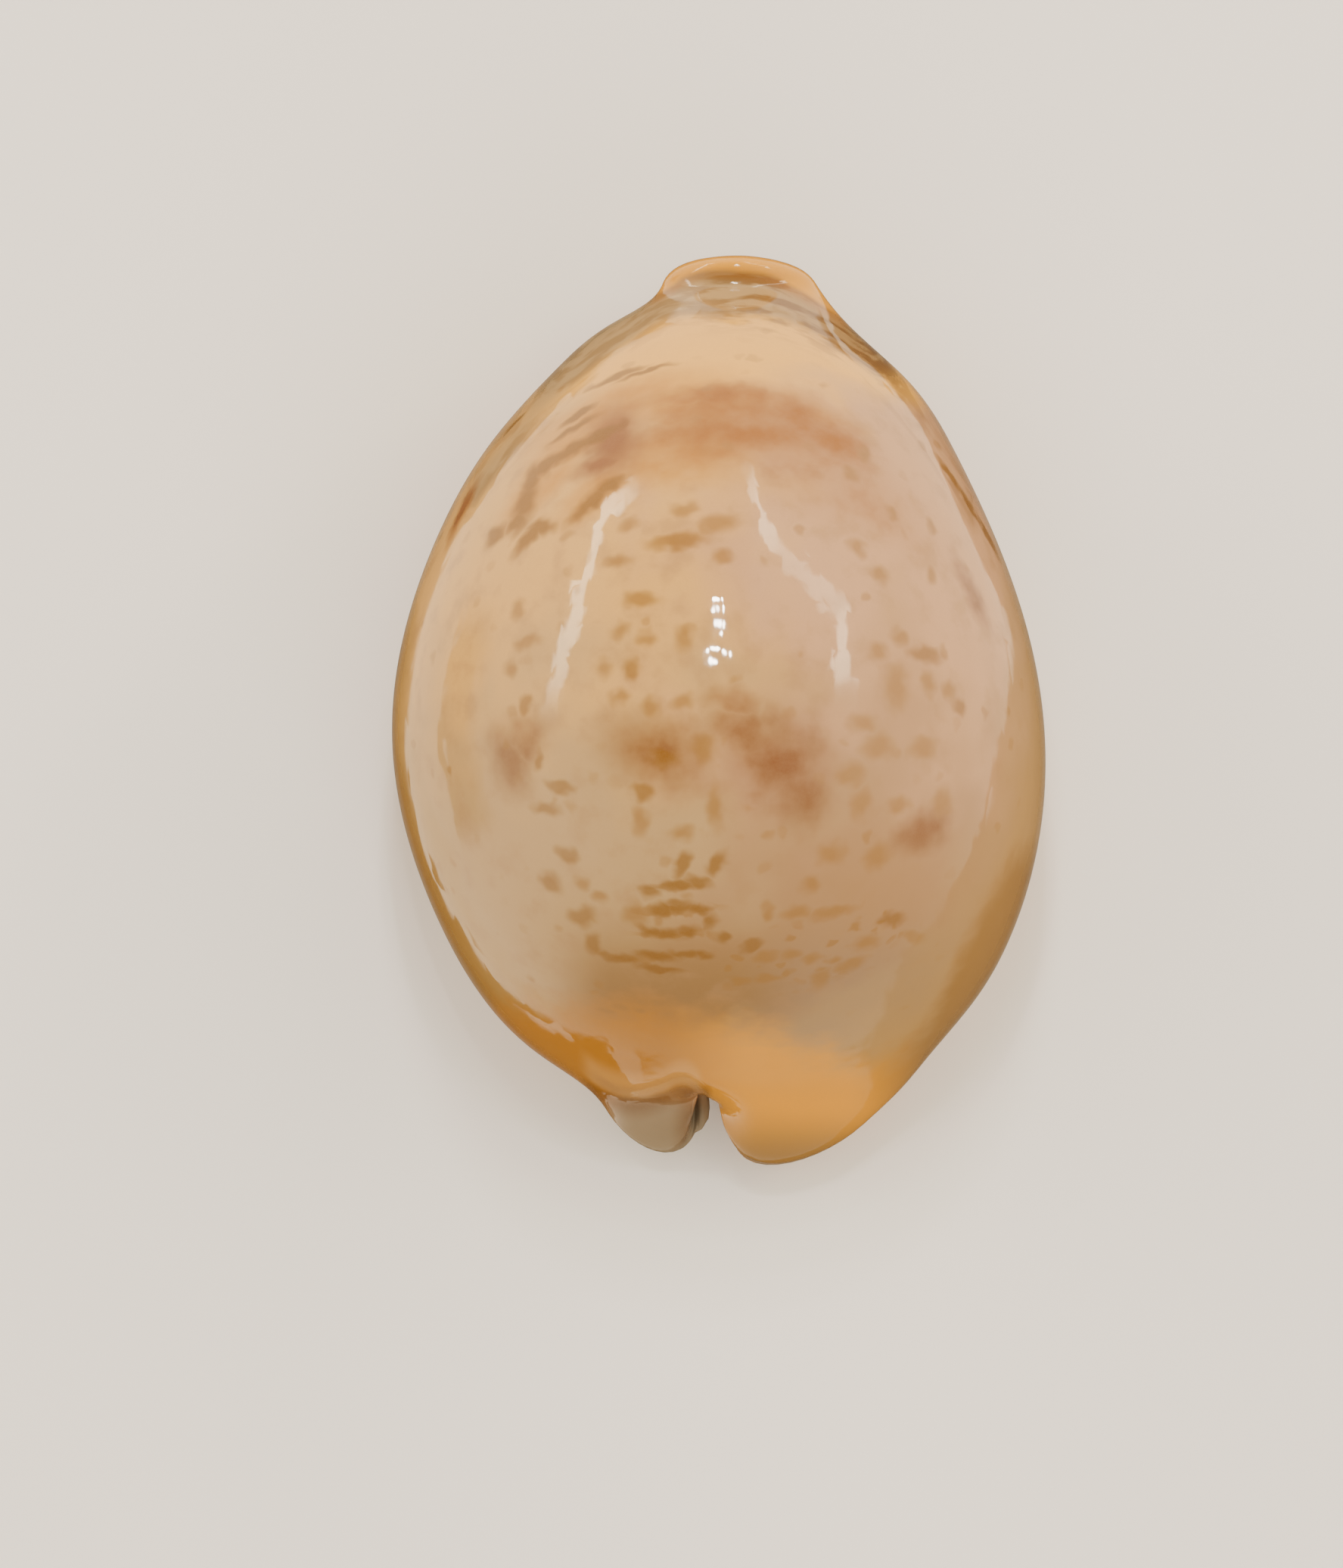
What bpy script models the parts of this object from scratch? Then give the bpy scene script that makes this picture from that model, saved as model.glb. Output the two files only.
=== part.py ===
"""A cowry shell, lying on its flat base with the toothed slit of its mouth underneath.

The shell is one curled sheet: it starts at the inner lip, runs out under the left side, over the
domed back, down the right side and in to the outer lip. Its sections all differ, so it is a loft.
Seen from above, +Y is the front end and +X is the side of the outer lip.

A place on the sheet is (way, along). way goes round the shell: -1 is the inner lip, -SIDE the widest
point on the left, 0 the ridge of the back, SIDE the widest point on the right and 1 the outer lip.
along goes from 0 at the back end to 1 at the front end.
"""

import math

import bmesh
import bpy
import numpy as np

MM = 0.001  # metres in a millimetre. Every size below is in millimetres.

# Size of the whole shell
LENGTH = 56.0
WIDTH = 40.1
HEIGHT = 32.0

# Outline from above, as (y, x) from the back to the front
LEFT_EDGE = (
    (-25.2, -6.55), (-23.4, -7.92), (-21.4, -10.72), (-17.7, -14.45), (-13.5, -16.9), (-8.0, -19.0),
    (-1.5, -20.0), (5.0, -19.2), (11.0, -17.1), (16.5, -13.95), (21.3, -9.7), (23.8, -6.65),
    (25.3, -4.2), (27.0, -3.2),
)
RIGHT_EDGE = (
    (-25.2, 9.3), (-23.4, 11.17), (-21.4, 12.85), (-17.7, 15.85), (-13.5, 18.1), (-8.0, 19.65),
    (-2.5, 20.05), (3.5, 19.3), (10.0, 17.25), (16.0, 14.5), (20.5, 11.5), (23.4, 8.4),
    (25.0, 6.95), (27.0, 5.6),
)

# Long profile, as (y, z): the ridge of the back, the level of the widest points, and the base
RIDGE_Z = (
    (-25.2, 9.4), (-24.0, 10.7), (-22.2, 14.0), (-19.5, 19.5), (-15.5, 25.4), (-10.0, 29.8),
    (-5.0, 31.5), (0.0, 31.9), (5.5, 31.0), (11.0, 28.6), (16.0, 24.6), (20.5, 19.0),
    (23.5, 13.8), (25.2, 10.2), (26.2, 8.7), (27.0, 8.9),
)
RIDGE_X = ((-25.2, -0.5), (-20.0, -0.4), (-10.0, 0.0), (10.0, 0.0), (22.0, 0.5), (27.0, 1.1))
SIDE_Z = (
    (-25.2, 5.4), (-21.0, 6.9), (-14.0, 9.3), (-4.0, 10.6), (6.0, 10.4), (15.0, 8.6), (22.0, 6.6),
    (27.0, 5.6),
)
BASE_Z = (
    (-25.2, 1.4), (-18.0, 0.8), (-9.0, 0.1), (0.0, -0.15), (9.0, 0.1), (18.0, 1.1), (27.0, 3.0),
)

FLAT_DEPTH = 0.2  # how much of the lowest bulges of the base is flat, so that the shell rests

# Mouth: the middle of its slit as (y, x), and half of its width as (y, width)
MOUTH_X = (
    (-25.2, -0.2), (-20.0, 0.4), (-12.0, 2.0), (-2.0, 3.1), (10.0, 2.8), (20.0, 1.9), (27.0, 1.2),
)
HALF_GAP = ((-25.2, 0.1), (-18.0, 1.1), (-4.0, 1.35), (12.0, 1.6), (22.0, 1.8), (27.0, 1.7))

# Hollow inside the shell, as lines of the same kinds. Its narrow ends are the two canals.
HOLLOW_LEFT = (
    (-25.4, -1.7), (-23.6, -1.8), (-22.0, -2.9), (-20.5, -5.2), (-18.0, -8.9), (-14.0, -13.4),
    (-8.0, -16.4), (-1.5, -17.4), (6.0, -16.1), (13.0, -12.2), (18.5, -7.2), (22.5, -2.6),
    (27.0, -0.9),
)
HOLLOW_RIGHT = (
    (-25.4, 1.0), (-23.6, 1.2), (-22.0, 2.2), (-20.5, 4.5), (-18.0, 8.4), (-14.0, 13.6),
    (-8.0, 16.8), (-1.5, 17.4), (6.0, 16.0), (13.0, 12.6), (18.5, 8.6), (22.5, 5.0), (27.0, 3.3),
)
HOLLOW_TOP_Z = (
    (-25.2, 6.6), (-23.6, 7.8), (-22.2, 10.0), (-19.5, 15.8), (-15.5, 22.4), (-10.0, 27.8),
    (-5.0, 29.9), (0.0, 30.3), (5.5, 29.4), (11.0, 26.8), (16.0, 22.2), (20.5, 15.6),
    (23.5, 9.0), (27.0, 6.0),
)
HOLLOW_SIDE_Z = (
    (-25.2, 5.2), (-22.0, 6.4), (-18.0, 7.8), (-12.0, 9.4), (-4.0, 10.6), (6.0, 10.4),
    (18.0, 7.0), (27.0, 4.6),
)

# Lips
LIP_THICKNESS = ((-25.2, 1.6), (-15.0, 2.7), (0.0, 3.1), (15.0, 2.9), (27.0, 1.8))
LIP_ROUND = 1.1  # how far the rounded edge of a lip stands out into the mouth
INNER_LIP_ROUND = 0.9  # the same, from the face towards the hollow
LIP_LIFT = 1.0  # the base rises this much to the mouth, so the lips stay off the ground
OUTER_TEETH = 23
INNER_TEETH = 21
TOOTH_HEIGHT = 0.45
TOOTH_REACH = 0.06  # how far a tooth runs out over the base, as a share of way
TOOTH_FADE = 0.055  # share of along over which the teeth die out at each end

# Where the sheet ends, as (way, y)
BACK_END = (
    (-1.0, -24.5), (-0.92, -25.0), (-0.8, -25.2), (-0.56, -24.8), (-0.36, -23.9), (-0.2, -23.0),
    (-0.08, -22.6), (0.0, -22.9), (0.06, -23.6), (0.12, -24.4), (0.2, -25.0), (0.3, -25.4),
    (0.56, -25.5), (0.8, -25.45), (0.9, -25.1), (1.0, -24.5),
)
FRONT_END = ((-1.0, 26.2), (-0.6, 26.4), (0.0, 27.0), (0.6, 26.4), (1.0, 26.2))
# The back of the roof ends in a soft ledge above the left lobe, along this line of (x, y)
LEDGE = (
    (-8.5, -21.4), (-6.6, -22.7), (-4.8, -23.0), (-3.4, -22.6), (-2.2, -22.2), (-1.3, -22.7),
    (-0.6, -23.8), (0.0, -25.2), (1.0, -28.5),
)
LEDGE_DROP = 1.8
LEDGE_SOFTNESS = 1.0
LEDGE_FADE = 2.0  # width over which the ledge dies out on the left side
LEDGE_FOOT_Z = 2.6  # height where the ledge starts to lower the lobe, and the height it takes for that
LEDGE_FOOT_RISE = 3.8
END_FADE = 0.3  # share of along over which the line of an end fades into straight sections
BACK_ROUND = 1.1  # how far the edge stands out at the back, times the root of the sheet's thickness
FRONT_ROUND = 0.4  # how far it stands out at the front, times the thickness
CORNER = 0.02  # share of way and of along over which the edge turns from a lip to an end
HANDLE_SHARE = 0.75  # a Bezier curve stands out this share of the length of its handles
NUDGE = 0.004  # step in way or along that shows the direction in which a face runs

# Fullness of the quarters of a section, where 0.55 gives an ellipse
SIDE = 0.56
TOP_FULLNESS = 0.6
SIDE_FULLNESS = 0.5
UNDER_FULLNESS = 0.86
BASE_FULLNESS = 0.62

# Fineness of the faceted solid: steps along the sheet, round it and over its edge
STATIONS = 92
COLUMNS = 30
EDGE_ROWS = 4
CROWDING = 0.4  # how much closer the steps round the sheet are at the lips

SHELL_COLOUR = (0.74, 0.53, 0.33, 1.0)
SHELL_ROUGHNESS = 0.14


def line(stations, place):
    """The value at each place on a natural cubic spline through the stations."""
    at, value = np.array(stations).T
    gap = np.diff(at)
    rise = np.diff(value) / gap
    bend = np.zeros(len(at))
    system = np.diag(2 * (gap[:-1] + gap[1:])) + np.diag(gap[1:-1], 1) + np.diag(gap[1:-1], -1)
    bend[1:-1] = np.linalg.solve(system, 6 * np.diff(rise))
    k = np.clip(np.searchsorted(at, place, side="right") - 1, 0, len(gap) - 1)
    t = place - at[k]
    slope = rise[k] - gap[k] * (2 * bend[k] + bend[k + 1]) / 6
    return value[k] + t * (slope + t * (bend[k] / 2 + t * (bend[k + 1] - bend[k]) / (6 * gap[k])))


def ease(t):
    """From 0 to 1 with flat ends."""
    t = np.clip(t, 0, 1)
    return t * t * (3 - 2 * t)


def bezier(t, a, b, c, d):
    return (1 - t) ** 3 * a + 3 * (1 - t) ** 2 * t * b + 3 * (1 - t) * t**2 * c + t**3 * d


def unit(vectors):
    return vectors / np.linalg.norm(vectors, axis=-1, keepdims=True)


def section(way, ridge, left, right, mouth, reach, lip_z):
    """x and z round a section: two quarters from the ridge to the sides, two from there to the lips."""
    side_x, side_z = np.where(way > 0, right, left)
    lip_x = mouth + np.where(way > 0, reach, -reach)
    ridge_x, ridge_z = ridge
    top_x = ridge_x + TOP_FULLNESS * (side_x - ridge_x)
    shoulder_z = side_z + SIDE_FULLNESS * (ridge_z - side_z)
    low_z = lip_z - LIP_LIFT
    under_z = side_z - UNDER_FULLNESS * (side_z - low_z)
    base_x = lip_x + BASE_FULLNESS * (side_x - lip_x)
    t = np.abs(way) / SIDE
    u = (np.abs(way) - SIDE) / (1 - SIDE)
    upper = bezier(t, ridge_x, top_x, side_x, side_x), bezier(t, ridge_z, ridge_z, shoulder_z, side_z)
    lower = bezier(u, side_x, side_x, base_x, lip_x), bezier(u, side_z, under_z, low_z, lip_z)
    return np.where(t < 1, upper, lower)


def end_y(way, along):
    """y at each place of the sheet: straight sections in the middle, the lines of the ends beyond."""
    back, front = BACK_END[0][1], FRONT_END[0][1]
    to_back = (1 - ease(along / END_FADE)) * (line(BACK_END, way) - back)
    to_front = (1 - ease((1 - along) / END_FADE)) * (line(FRONT_END, way) - front)
    return back + (front - back) * along + to_back + to_front


def outer_face(way, along):
    y = end_y(way, along)
    side_z = line(SIDE_Z, y)
    x, z = section(
        way,
        (line(RIDGE_X, y), line(RIDGE_Z, y)),
        (line(LEFT_EDGE, y), side_z),
        (line(RIGHT_EDGE, y), side_z),
        line(MOUTH_X, y),
        line(HALF_GAP, y) + LIP_ROUND,
        line(BASE_Z, y) + LIP_LIFT,
    )
    return np.stack([x, y, z], axis=-1)


def inner_face(way, along):
    y = end_y(way, along)
    side_z = line(HOLLOW_SIDE_Z, y)
    left, right = line(HOLLOW_LEFT, y), line(HOLLOW_RIGHT, y)
    x, z = section(
        way,
        ((left + right) / 2, line(HOLLOW_TOP_Z, y)),
        (left, side_z),
        (right, side_z),
        line(MOUTH_X, y),
        line(HALF_GAP, y) + INNER_LIP_ROUND,
        line(BASE_Z, y) + LIP_LIFT + line(LIP_THICKNESS, y),
    )
    return np.stack([x, y, z], axis=-1)


def tooth(way, along):
    """How far the teeth of a lip stand out at each place along it."""
    count = np.where(way > 0, OUTER_TEETH, INNER_TEETH)
    fade = ease(np.minimum(along, 1 - along) / TOOTH_FADE)
    return TOOTH_HEIGHT * fade * (1 - np.cos(2 * math.pi * count * along)) / 2


def below_ledge(points):
    """How far each point drops, being past the ledge, on top of the left lobe."""
    x, y, z = np.moveaxis(points, -1, 0)
    ledge_y = line(LEDGE, np.clip(x, LEDGE[0][0], LEDGE[-1][0]))
    past = ease((ledge_y - y) / LEDGE_SOFTNESS)
    on_lobe = ease((x - LEDGE[0][0]) / LEDGE_FADE) * ease((z - LEDGE_FOOT_Z) / LEDGE_FOOT_RISE)
    return LEDGE_DROP * past * on_lobe


def outward(face, way, along):
    """Unit vectors that leave the face over its edge, turning from the lips to the ends at the corners."""
    side = np.where(way > 0, 1.0, -1.0)
    end = np.where(along > 0.5, 1.0, 0.0)
    over_lip = unit(face(side, along) - face(side * (1 - NUDGE), along))
    over_end = unit(face(way, end) - face(way, np.abs(end - NUDGE)))
    to_end = np.minimum(along, 1 - along)
    to_lip = 1 - np.abs(way)
    lip_share = ease(0.5 + (to_end - to_lip) / (2 * CORNER))[:, None]
    return unit(lip_share * over_lip + (1 - lip_share) * over_end)


def edge_rings(way, along):
    """The rounded edge of the sheet as rings of points, from its outer face to its inner face."""
    outer, inner = outer_face(way, along), inner_face(way, along)
    thickness = np.linalg.norm(outer - inner, axis=-1)
    on_end = ease(1 - np.minimum(along, 1 - along) / CORNER)
    end_depth = np.where(along < 0.5, BACK_ROUND * np.sqrt(thickness), FRONT_ROUND * thickness)
    depth = LIP_ROUND * (1 - on_end) + end_depth * on_end
    handle = depth[:, None] / HANDLE_SHARE
    outer_handle = outer + handle * outward(outer_face, way, along)
    inner_handle = inner + handle * outward(inner_face, way, along)
    stand_out = tooth(way, along) * (np.abs(way) == 1)
    rings = []
    for t in np.linspace(0, 1, EDGE_ROWS + 1):
        ring = bezier(t, outer, outer_handle, inner_handle, inner)
        ring[:, 2] -= below_ledge(ring) * (1 - t * t)
        fading = stand_out * (1 - ease(2 * t - 1))
        ring[:, 0] -= np.sign(way) * fading * math.sin(math.pi * t)
        ring[:, 2] -= fading * math.cos(math.pi * t)
        rings.append(ring)
    return rings


def steps_round(count):
    """Values of way from -1 to 1, closer together towards the lips."""
    even = np.linspace(-1, 1, count + 1)
    return (1 - CROWDING) * even + CROWDING * np.sin(even * math.pi / 2)


def edge_places(ways, alongs):
    """way and along of every point once round the edge: inner lip, front, outer lip, back."""
    way = np.concatenate(
        [np.full(len(alongs) - 1, -1.0), ways[:-1], np.full(len(alongs) - 1, 1.0), ways[:0:-1]]
    )
    along = np.concatenate(
        [alongs[:-1], np.ones(len(ways) - 1), alongs[:0:-1], np.zeros(len(ways) - 1)]
    )
    return way, along


def edge_cells(columns, stations):
    """(column, station) of every point once round the edge, in the same order."""
    up = [(0, k) for k in range(stations)]
    across = [(k, stations) for k in range(columns)]
    down = [(columns, k) for k in range(stations, 0, -1)]
    back = [(k, 0) for k in range(columns, 0, -1)]
    return up + across + down + back


def fit_to_size(points):
    """The points scaled to the size of the whole shell, standing on z = 0 round the origin."""
    low, high = points.min(axis=0), points.max(axis=0)
    low[2] += FLAT_DEPTH
    foot = np.array([(low[0] + high[0]) / 2, (low[1] + high[1]) / 2, low[2]])
    fitted = (points - foot) * np.array([WIDTH, LENGTH, HEIGHT]) / (high - low)
    fitted[:, 2] = np.maximum(fitted[:, 2], 0)
    return fitted


def sheet_points():
    """All points of the shell, and the grids and rings of numbers that lead into them."""
    ways = steps_round(COLUMNS)
    alongs = np.linspace(0, 1, STATIONS + 1)
    way, along = np.meshgrid(ways, alongs, indexing="ij")
    outer = outer_face(way, along)
    outer[..., 2] -= below_ledge(outer)
    outer[..., 2] -= tooth(way, along) * ease(1 - (1 - np.abs(way)) / TOOTH_REACH)
    inner_way, inner_along = np.meshgrid(ways[::2], alongs[::2], indexing="ij")
    inner = inner_face(inner_way, inner_along)
    rings = edge_rings(*edge_places(ways, alongs))[1:-1]
    points = np.concatenate([outer.reshape(-1, 3), inner.reshape(-1, 3), *rings])
    numbers = np.arange(len(points))
    outer_size, inner_size, ring_size = way.size, inner_way.size, len(rings[0])
    outer_grid = numbers[:outer_size].reshape(way.shape)
    inner_grid = numbers[outer_size : outer_size + inner_size].reshape(inner_way.shape)
    between = numbers[outer_size + inner_size :].reshape(-1, ring_size)
    first = [outer_grid[cell] for cell in edge_cells(COLUMNS, STATIONS)]
    last = [inner_grid[cell] for cell in edge_cells(COLUMNS // 2, STATIONS // 2)]
    return fit_to_size(points), outer_grid, inner_grid, [first, *between], last


def shell_faces(outer_grid, inner_grid, rings, last):
    """Faces of the outer and inner grids, of the edge between them, and of its join to the inner grid."""
    faces = []
    for grid, turn in ((outer_grid, 1), (inner_grid, -1)):
        for a, b in zip(grid[:-1], grid[1:]):
            faces += [(a[k], a[k + 1], b[k + 1], b[k])[::turn] for k in range(len(a) - 1)]
    for near, far in zip(rings[:-1], rings[1:]):
        faces += [(near[k - 1], far[k - 1], far[k], near[k]) for k in range(len(near))]
    near = rings[-1]
    for k in range(len(last)):
        a, b, c = near[2 * k - 2], near[2 * k - 1], near[2 * k]
        faces += [(a, last[k - 1], b), (b, last[k - 1], last[k]), (b, last[k], c)]
    return faces


def shell_mesh():
    points, *numbers = sheet_points()
    mesh = bpy.data.meshes.new("shell")
    built = bmesh.new()
    corners = [built.verts.new(point * MM) for point in points]
    for face in shell_faces(*numbers):
        built.faces.new([corners[number] for number in face])
    bmesh.ops.recalc_face_normals(built, faces=built.faces)
    built.to_mesh(mesh)
    built.free()
    mesh.shade_smooth()
    return mesh


def shell_material():
    material = bpy.data.materials.new("shell")
    material.use_nodes = True
    surface = material.node_tree.nodes["Principled BSDF"]
    surface.inputs["Base Color"].default_value = SHELL_COLOUR
    surface.inputs["Roughness"].default_value = SHELL_ROUGHNESS
    surface.inputs["Metallic"].default_value = 0.0
    return material


def main():
    for thing in list(bpy.data.objects):
        bpy.data.objects.remove(thing)
    collection = bpy.data.collections.new("cowry")
    bpy.context.scene.collection.children.link(collection)
    shell = bpy.data.objects.new("shell", shell_mesh())
    shell.data.materials.append(shell_material())
    collection.objects.link(shell)


main()
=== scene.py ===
"""The looks of a cowry shell that lies on its base, in a plain pale studio seen from straight above.

The shell is one curled sheet: it starts at the inner lip, runs out under the left side, over the
domed back, down the right side and in to the outer lip. It is drawn from the same sections as the
solid in the frame, only much finer, and carries its markings in one material made of nodes.
Seen from above, +Y is the front end and +X is the side of the outer lip.

A place on the sheet is (way, along). way goes round the shell: -1 is the inner lip, -SIDE the widest
point on the left, 0 the ridge of the back, SIDE the widest point on the right and 1 the outer lip.
along goes from 0 at the back end to 1 at the front end.
"""

import math

import bmesh
import bpy
import numpy as np
from mathutils import Matrix, Vector


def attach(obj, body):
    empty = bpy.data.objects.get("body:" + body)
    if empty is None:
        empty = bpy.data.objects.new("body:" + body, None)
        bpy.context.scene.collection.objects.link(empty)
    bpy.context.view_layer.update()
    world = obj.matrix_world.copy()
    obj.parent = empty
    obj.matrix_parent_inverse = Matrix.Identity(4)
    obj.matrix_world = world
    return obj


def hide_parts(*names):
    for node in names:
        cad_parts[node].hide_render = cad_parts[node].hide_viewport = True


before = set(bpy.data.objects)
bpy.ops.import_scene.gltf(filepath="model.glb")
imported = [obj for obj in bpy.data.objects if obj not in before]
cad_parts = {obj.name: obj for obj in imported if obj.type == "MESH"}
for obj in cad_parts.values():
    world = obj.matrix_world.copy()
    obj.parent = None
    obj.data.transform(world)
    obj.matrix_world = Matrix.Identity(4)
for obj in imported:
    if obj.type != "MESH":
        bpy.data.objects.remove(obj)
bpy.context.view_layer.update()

MM = 0.001  # metres in a millimetre. Every size below is in millimetres.

# Size of the whole shell
LENGTH = 56.0
WIDTH = 40.1
HEIGHT = 32.0

# Outline from above, as (y, x) from the back to the front
LEFT_EDGE = (
    (-25.2, -6.55), (-23.4, -7.92), (-21.4, -10.72), (-17.7, -14.45), (-13.5, -16.9), (-8.0, -19.0),
    (-1.5, -20.0), (5.0, -19.2), (11.0, -17.1), (16.5, -13.95), (21.3, -9.7), (23.8, -6.65),
    (25.3, -4.2), (27.0, -3.2),
)
RIGHT_EDGE = (
    (-25.2, 9.3), (-23.4, 11.17), (-21.4, 12.85), (-17.7, 15.85), (-13.5, 18.1), (-8.0, 19.65),
    (-2.5, 20.05), (3.5, 19.3), (10.0, 17.25), (16.0, 14.5), (20.5, 11.5), (23.4, 8.4),
    (25.0, 6.95), (27.0, 5.6),
)

# Long profile, as (y, z): the ridge of the back, the level of the widest points, and the base
RIDGE_Z = (
    (-25.2, 9.4), (-24.0, 10.7), (-22.2, 14.0), (-19.5, 19.5), (-15.5, 25.4), (-10.0, 29.8),
    (-5.0, 31.5), (0.0, 31.9), (5.5, 31.0), (11.0, 28.6), (16.0, 24.6), (20.5, 19.0),
    (23.5, 13.8), (25.2, 10.2), (26.2, 8.7), (27.0, 8.9),
)
RIDGE_X = ((-25.2, -0.5), (-20.0, -0.4), (-10.0, 0.0), (10.0, 0.0), (22.0, 0.5), (27.0, 1.1))
SIDE_Z = (
    (-25.2, 5.4), (-21.0, 6.9), (-14.0, 9.3), (-4.0, 10.6), (6.0, 10.4), (15.0, 8.6), (22.0, 6.6),
    (27.0, 5.6),
)
BASE_Z = (
    (-25.2, 1.4), (-18.0, 0.8), (-9.0, 0.1), (0.0, -0.15), (9.0, 0.1), (18.0, 1.1), (27.0, 3.0),
)

FLAT_DEPTH = 0.2  # how much of the lowest bulges of the base is flat, so that the shell rests

# Mouth: the middle of its slit as (y, x), and half of its width as (y, width)
MOUTH_X = (
    (-25.2, -0.2), (-20.0, 0.4), (-12.0, 2.0), (-2.0, 3.1), (10.0, 2.8), (20.0, 1.9), (27.0, 1.2),
)
HALF_GAP = ((-25.2, 0.1), (-18.0, 1.1), (-4.0, 1.35), (12.0, 1.6), (22.0, 1.8), (27.0, 1.7))

# Hollow inside the shell, as lines of the same kinds. Its narrow ends are the two canals.
HOLLOW_LEFT = (
    (-25.4, -1.7), (-23.6, -1.8), (-22.0, -2.9), (-20.5, -5.2), (-18.0, -8.9), (-14.0, -13.4),
    (-8.0, -16.4), (-1.5, -17.4), (6.0, -16.1), (13.0, -12.2), (18.5, -7.2), (22.5, -2.6),
    (27.0, -0.9),
)
HOLLOW_RIGHT = (
    (-25.4, 1.0), (-23.6, 1.2), (-22.0, 2.2), (-20.5, 4.5), (-18.0, 8.4), (-14.0, 13.6),
    (-8.0, 16.8), (-1.5, 17.4), (6.0, 16.0), (13.0, 12.6), (18.5, 8.6), (22.5, 5.0), (27.0, 3.3),
)
HOLLOW_TOP_Z = (
    (-25.2, 6.6), (-23.6, 7.8), (-22.2, 10.0), (-19.5, 15.8), (-15.5, 22.4), (-10.0, 27.8),
    (-5.0, 29.9), (0.0, 30.3), (5.5, 29.4), (11.0, 26.8), (16.0, 22.2), (20.5, 15.6),
    (23.5, 9.0), (27.0, 6.0),
)
HOLLOW_SIDE_Z = (
    (-25.2, 5.2), (-22.0, 6.4), (-18.0, 7.8), (-12.0, 9.4), (-4.0, 10.6), (6.0, 10.4),
    (18.0, 7.0), (27.0, 4.6),
)

# Lips
LIP_THICKNESS = ((-25.2, 1.6), (-15.0, 2.7), (0.0, 3.1), (15.0, 2.9), (27.0, 1.8))
LIP_ROUND = 1.1  # how far the rounded edge of a lip stands out into the mouth
INNER_LIP_ROUND = 0.9  # the same, from the face towards the hollow
LIP_LIFT = 1.0  # the base rises this much to the mouth, so the lips stay off the ground
OUTER_TEETH = 23
INNER_TEETH = 21
TOOTH_HEIGHT = 0.45
TOOTH_REACH = 0.06  # how far a tooth runs out over the base, as a share of way
TOOTH_FADE = 0.055  # share of along over which the teeth die out at each end

# Where the sheet ends, as (way, y)
BACK_END = (
    (-1.0, -24.5), (-0.92, -25.0), (-0.8, -25.2), (-0.56, -24.8), (-0.36, -23.9), (-0.2, -23.0),
    (-0.08, -22.6), (0.0, -22.9), (0.06, -23.6), (0.12, -24.4), (0.2, -25.0), (0.3, -25.4),
    (0.56, -25.5), (0.8, -25.45), (0.9, -25.1), (1.0, -24.5),
)
FRONT_END = ((-1.0, 26.2), (-0.6, 26.4), (0.0, 27.0), (0.6, 26.4), (1.0, 26.2))
# The back of the roof ends in a soft ledge above the left lobe, along this line of (x, y)
LEDGE = (
    (-8.5, -21.4), (-6.6, -22.7), (-4.8, -23.0), (-3.4, -22.6), (-2.2, -22.2), (-1.3, -22.7),
    (-0.6, -23.8), (0.0, -25.2), (1.0, -28.5),
)
LEDGE_DROP = 1.8
LEDGE_SOFTNESS = 1.0
LEDGE_FADE = 2.0  # width over which the ledge dies out on the left side
LEDGE_FOOT_Z = 2.6  # height where the ledge starts to lower the lobe
LEDGE_FOOT_RISE = 3.8  # height over which it comes to do so in full
END_FADE = 0.3  # share of along over which the line of an end fades into straight sections
BACK_ROUND = 1.1  # how far the edge stands out at the back, times the root of the sheet's thickness
FRONT_ROUND = 0.4  # how far it stands out at the front, times the thickness
CORNER = 0.02  # share of way and of along over which the edge turns from a lip to an end
HANDLE_SHARE = 0.75  # a Bezier curve stands out this share of the length of its handles
NUDGE = 0.004  # step in way or along that shows the direction in which a face runs

# Fullness of the quarters of a section, where 0.55 gives an ellipse
SIDE = 0.56
TOP_FULLNESS = 0.6
SIDE_FULLNESS = 0.5
UNDER_FULLNESS = 0.86
BASE_FULLNESS = 0.62

# Fineness of the sheet: steps along it, round it and over its edge
STATIONS = 320
COLUMNS = 200
EDGE_ROWS = 14
CROWDING = 0.4  # how much closer the steps round the sheet are at the lips

# What the material reads at each point of the mesh
PAINTED = ("under", "near_lip", "groove", "inside")
UNDER_PAINT = (0.6, 0.74)  # way where the colour of the base starts and where it is full
LIP_PAINT = 0.88  # way where the paler colour of the lips starts
GROOVE_REACH = 0.05  # how far the colour of the grooves runs out over the base, as a share of way
INSIDE_PAINT = (0.4, 0.9)  # depth where the colour of the hollow starts and where it is full

# Drawn spots
SPOT_REACH = 2.0  # how far a marking is known about beyond its edge, against its size
SPOT_SWELL = 1.3  # how much larger each marking is drawn than its listed size
RAY_START = 1.0  # height in metres from which the surface under a marking is sought

# Camera, straight above the shell
CAMERA_HEIGHT = 1300.0
SENSOR_WIDTH = 36.0
SEEN_DEPTH = (0.01, 10.0)  # nearest and farthest distance that the camera sees, in metres
VIEW_LENGTH = 96.2  # length of the picture's long side at the level of the outline
VIEW_CENTRE = (-2.9, -4.5)
OUTLINE_LEVEL = 10.0

FLOOR_SIZE = 1.6  # in metres
FLOOR_ROUGHNESS = 0.6

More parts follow.
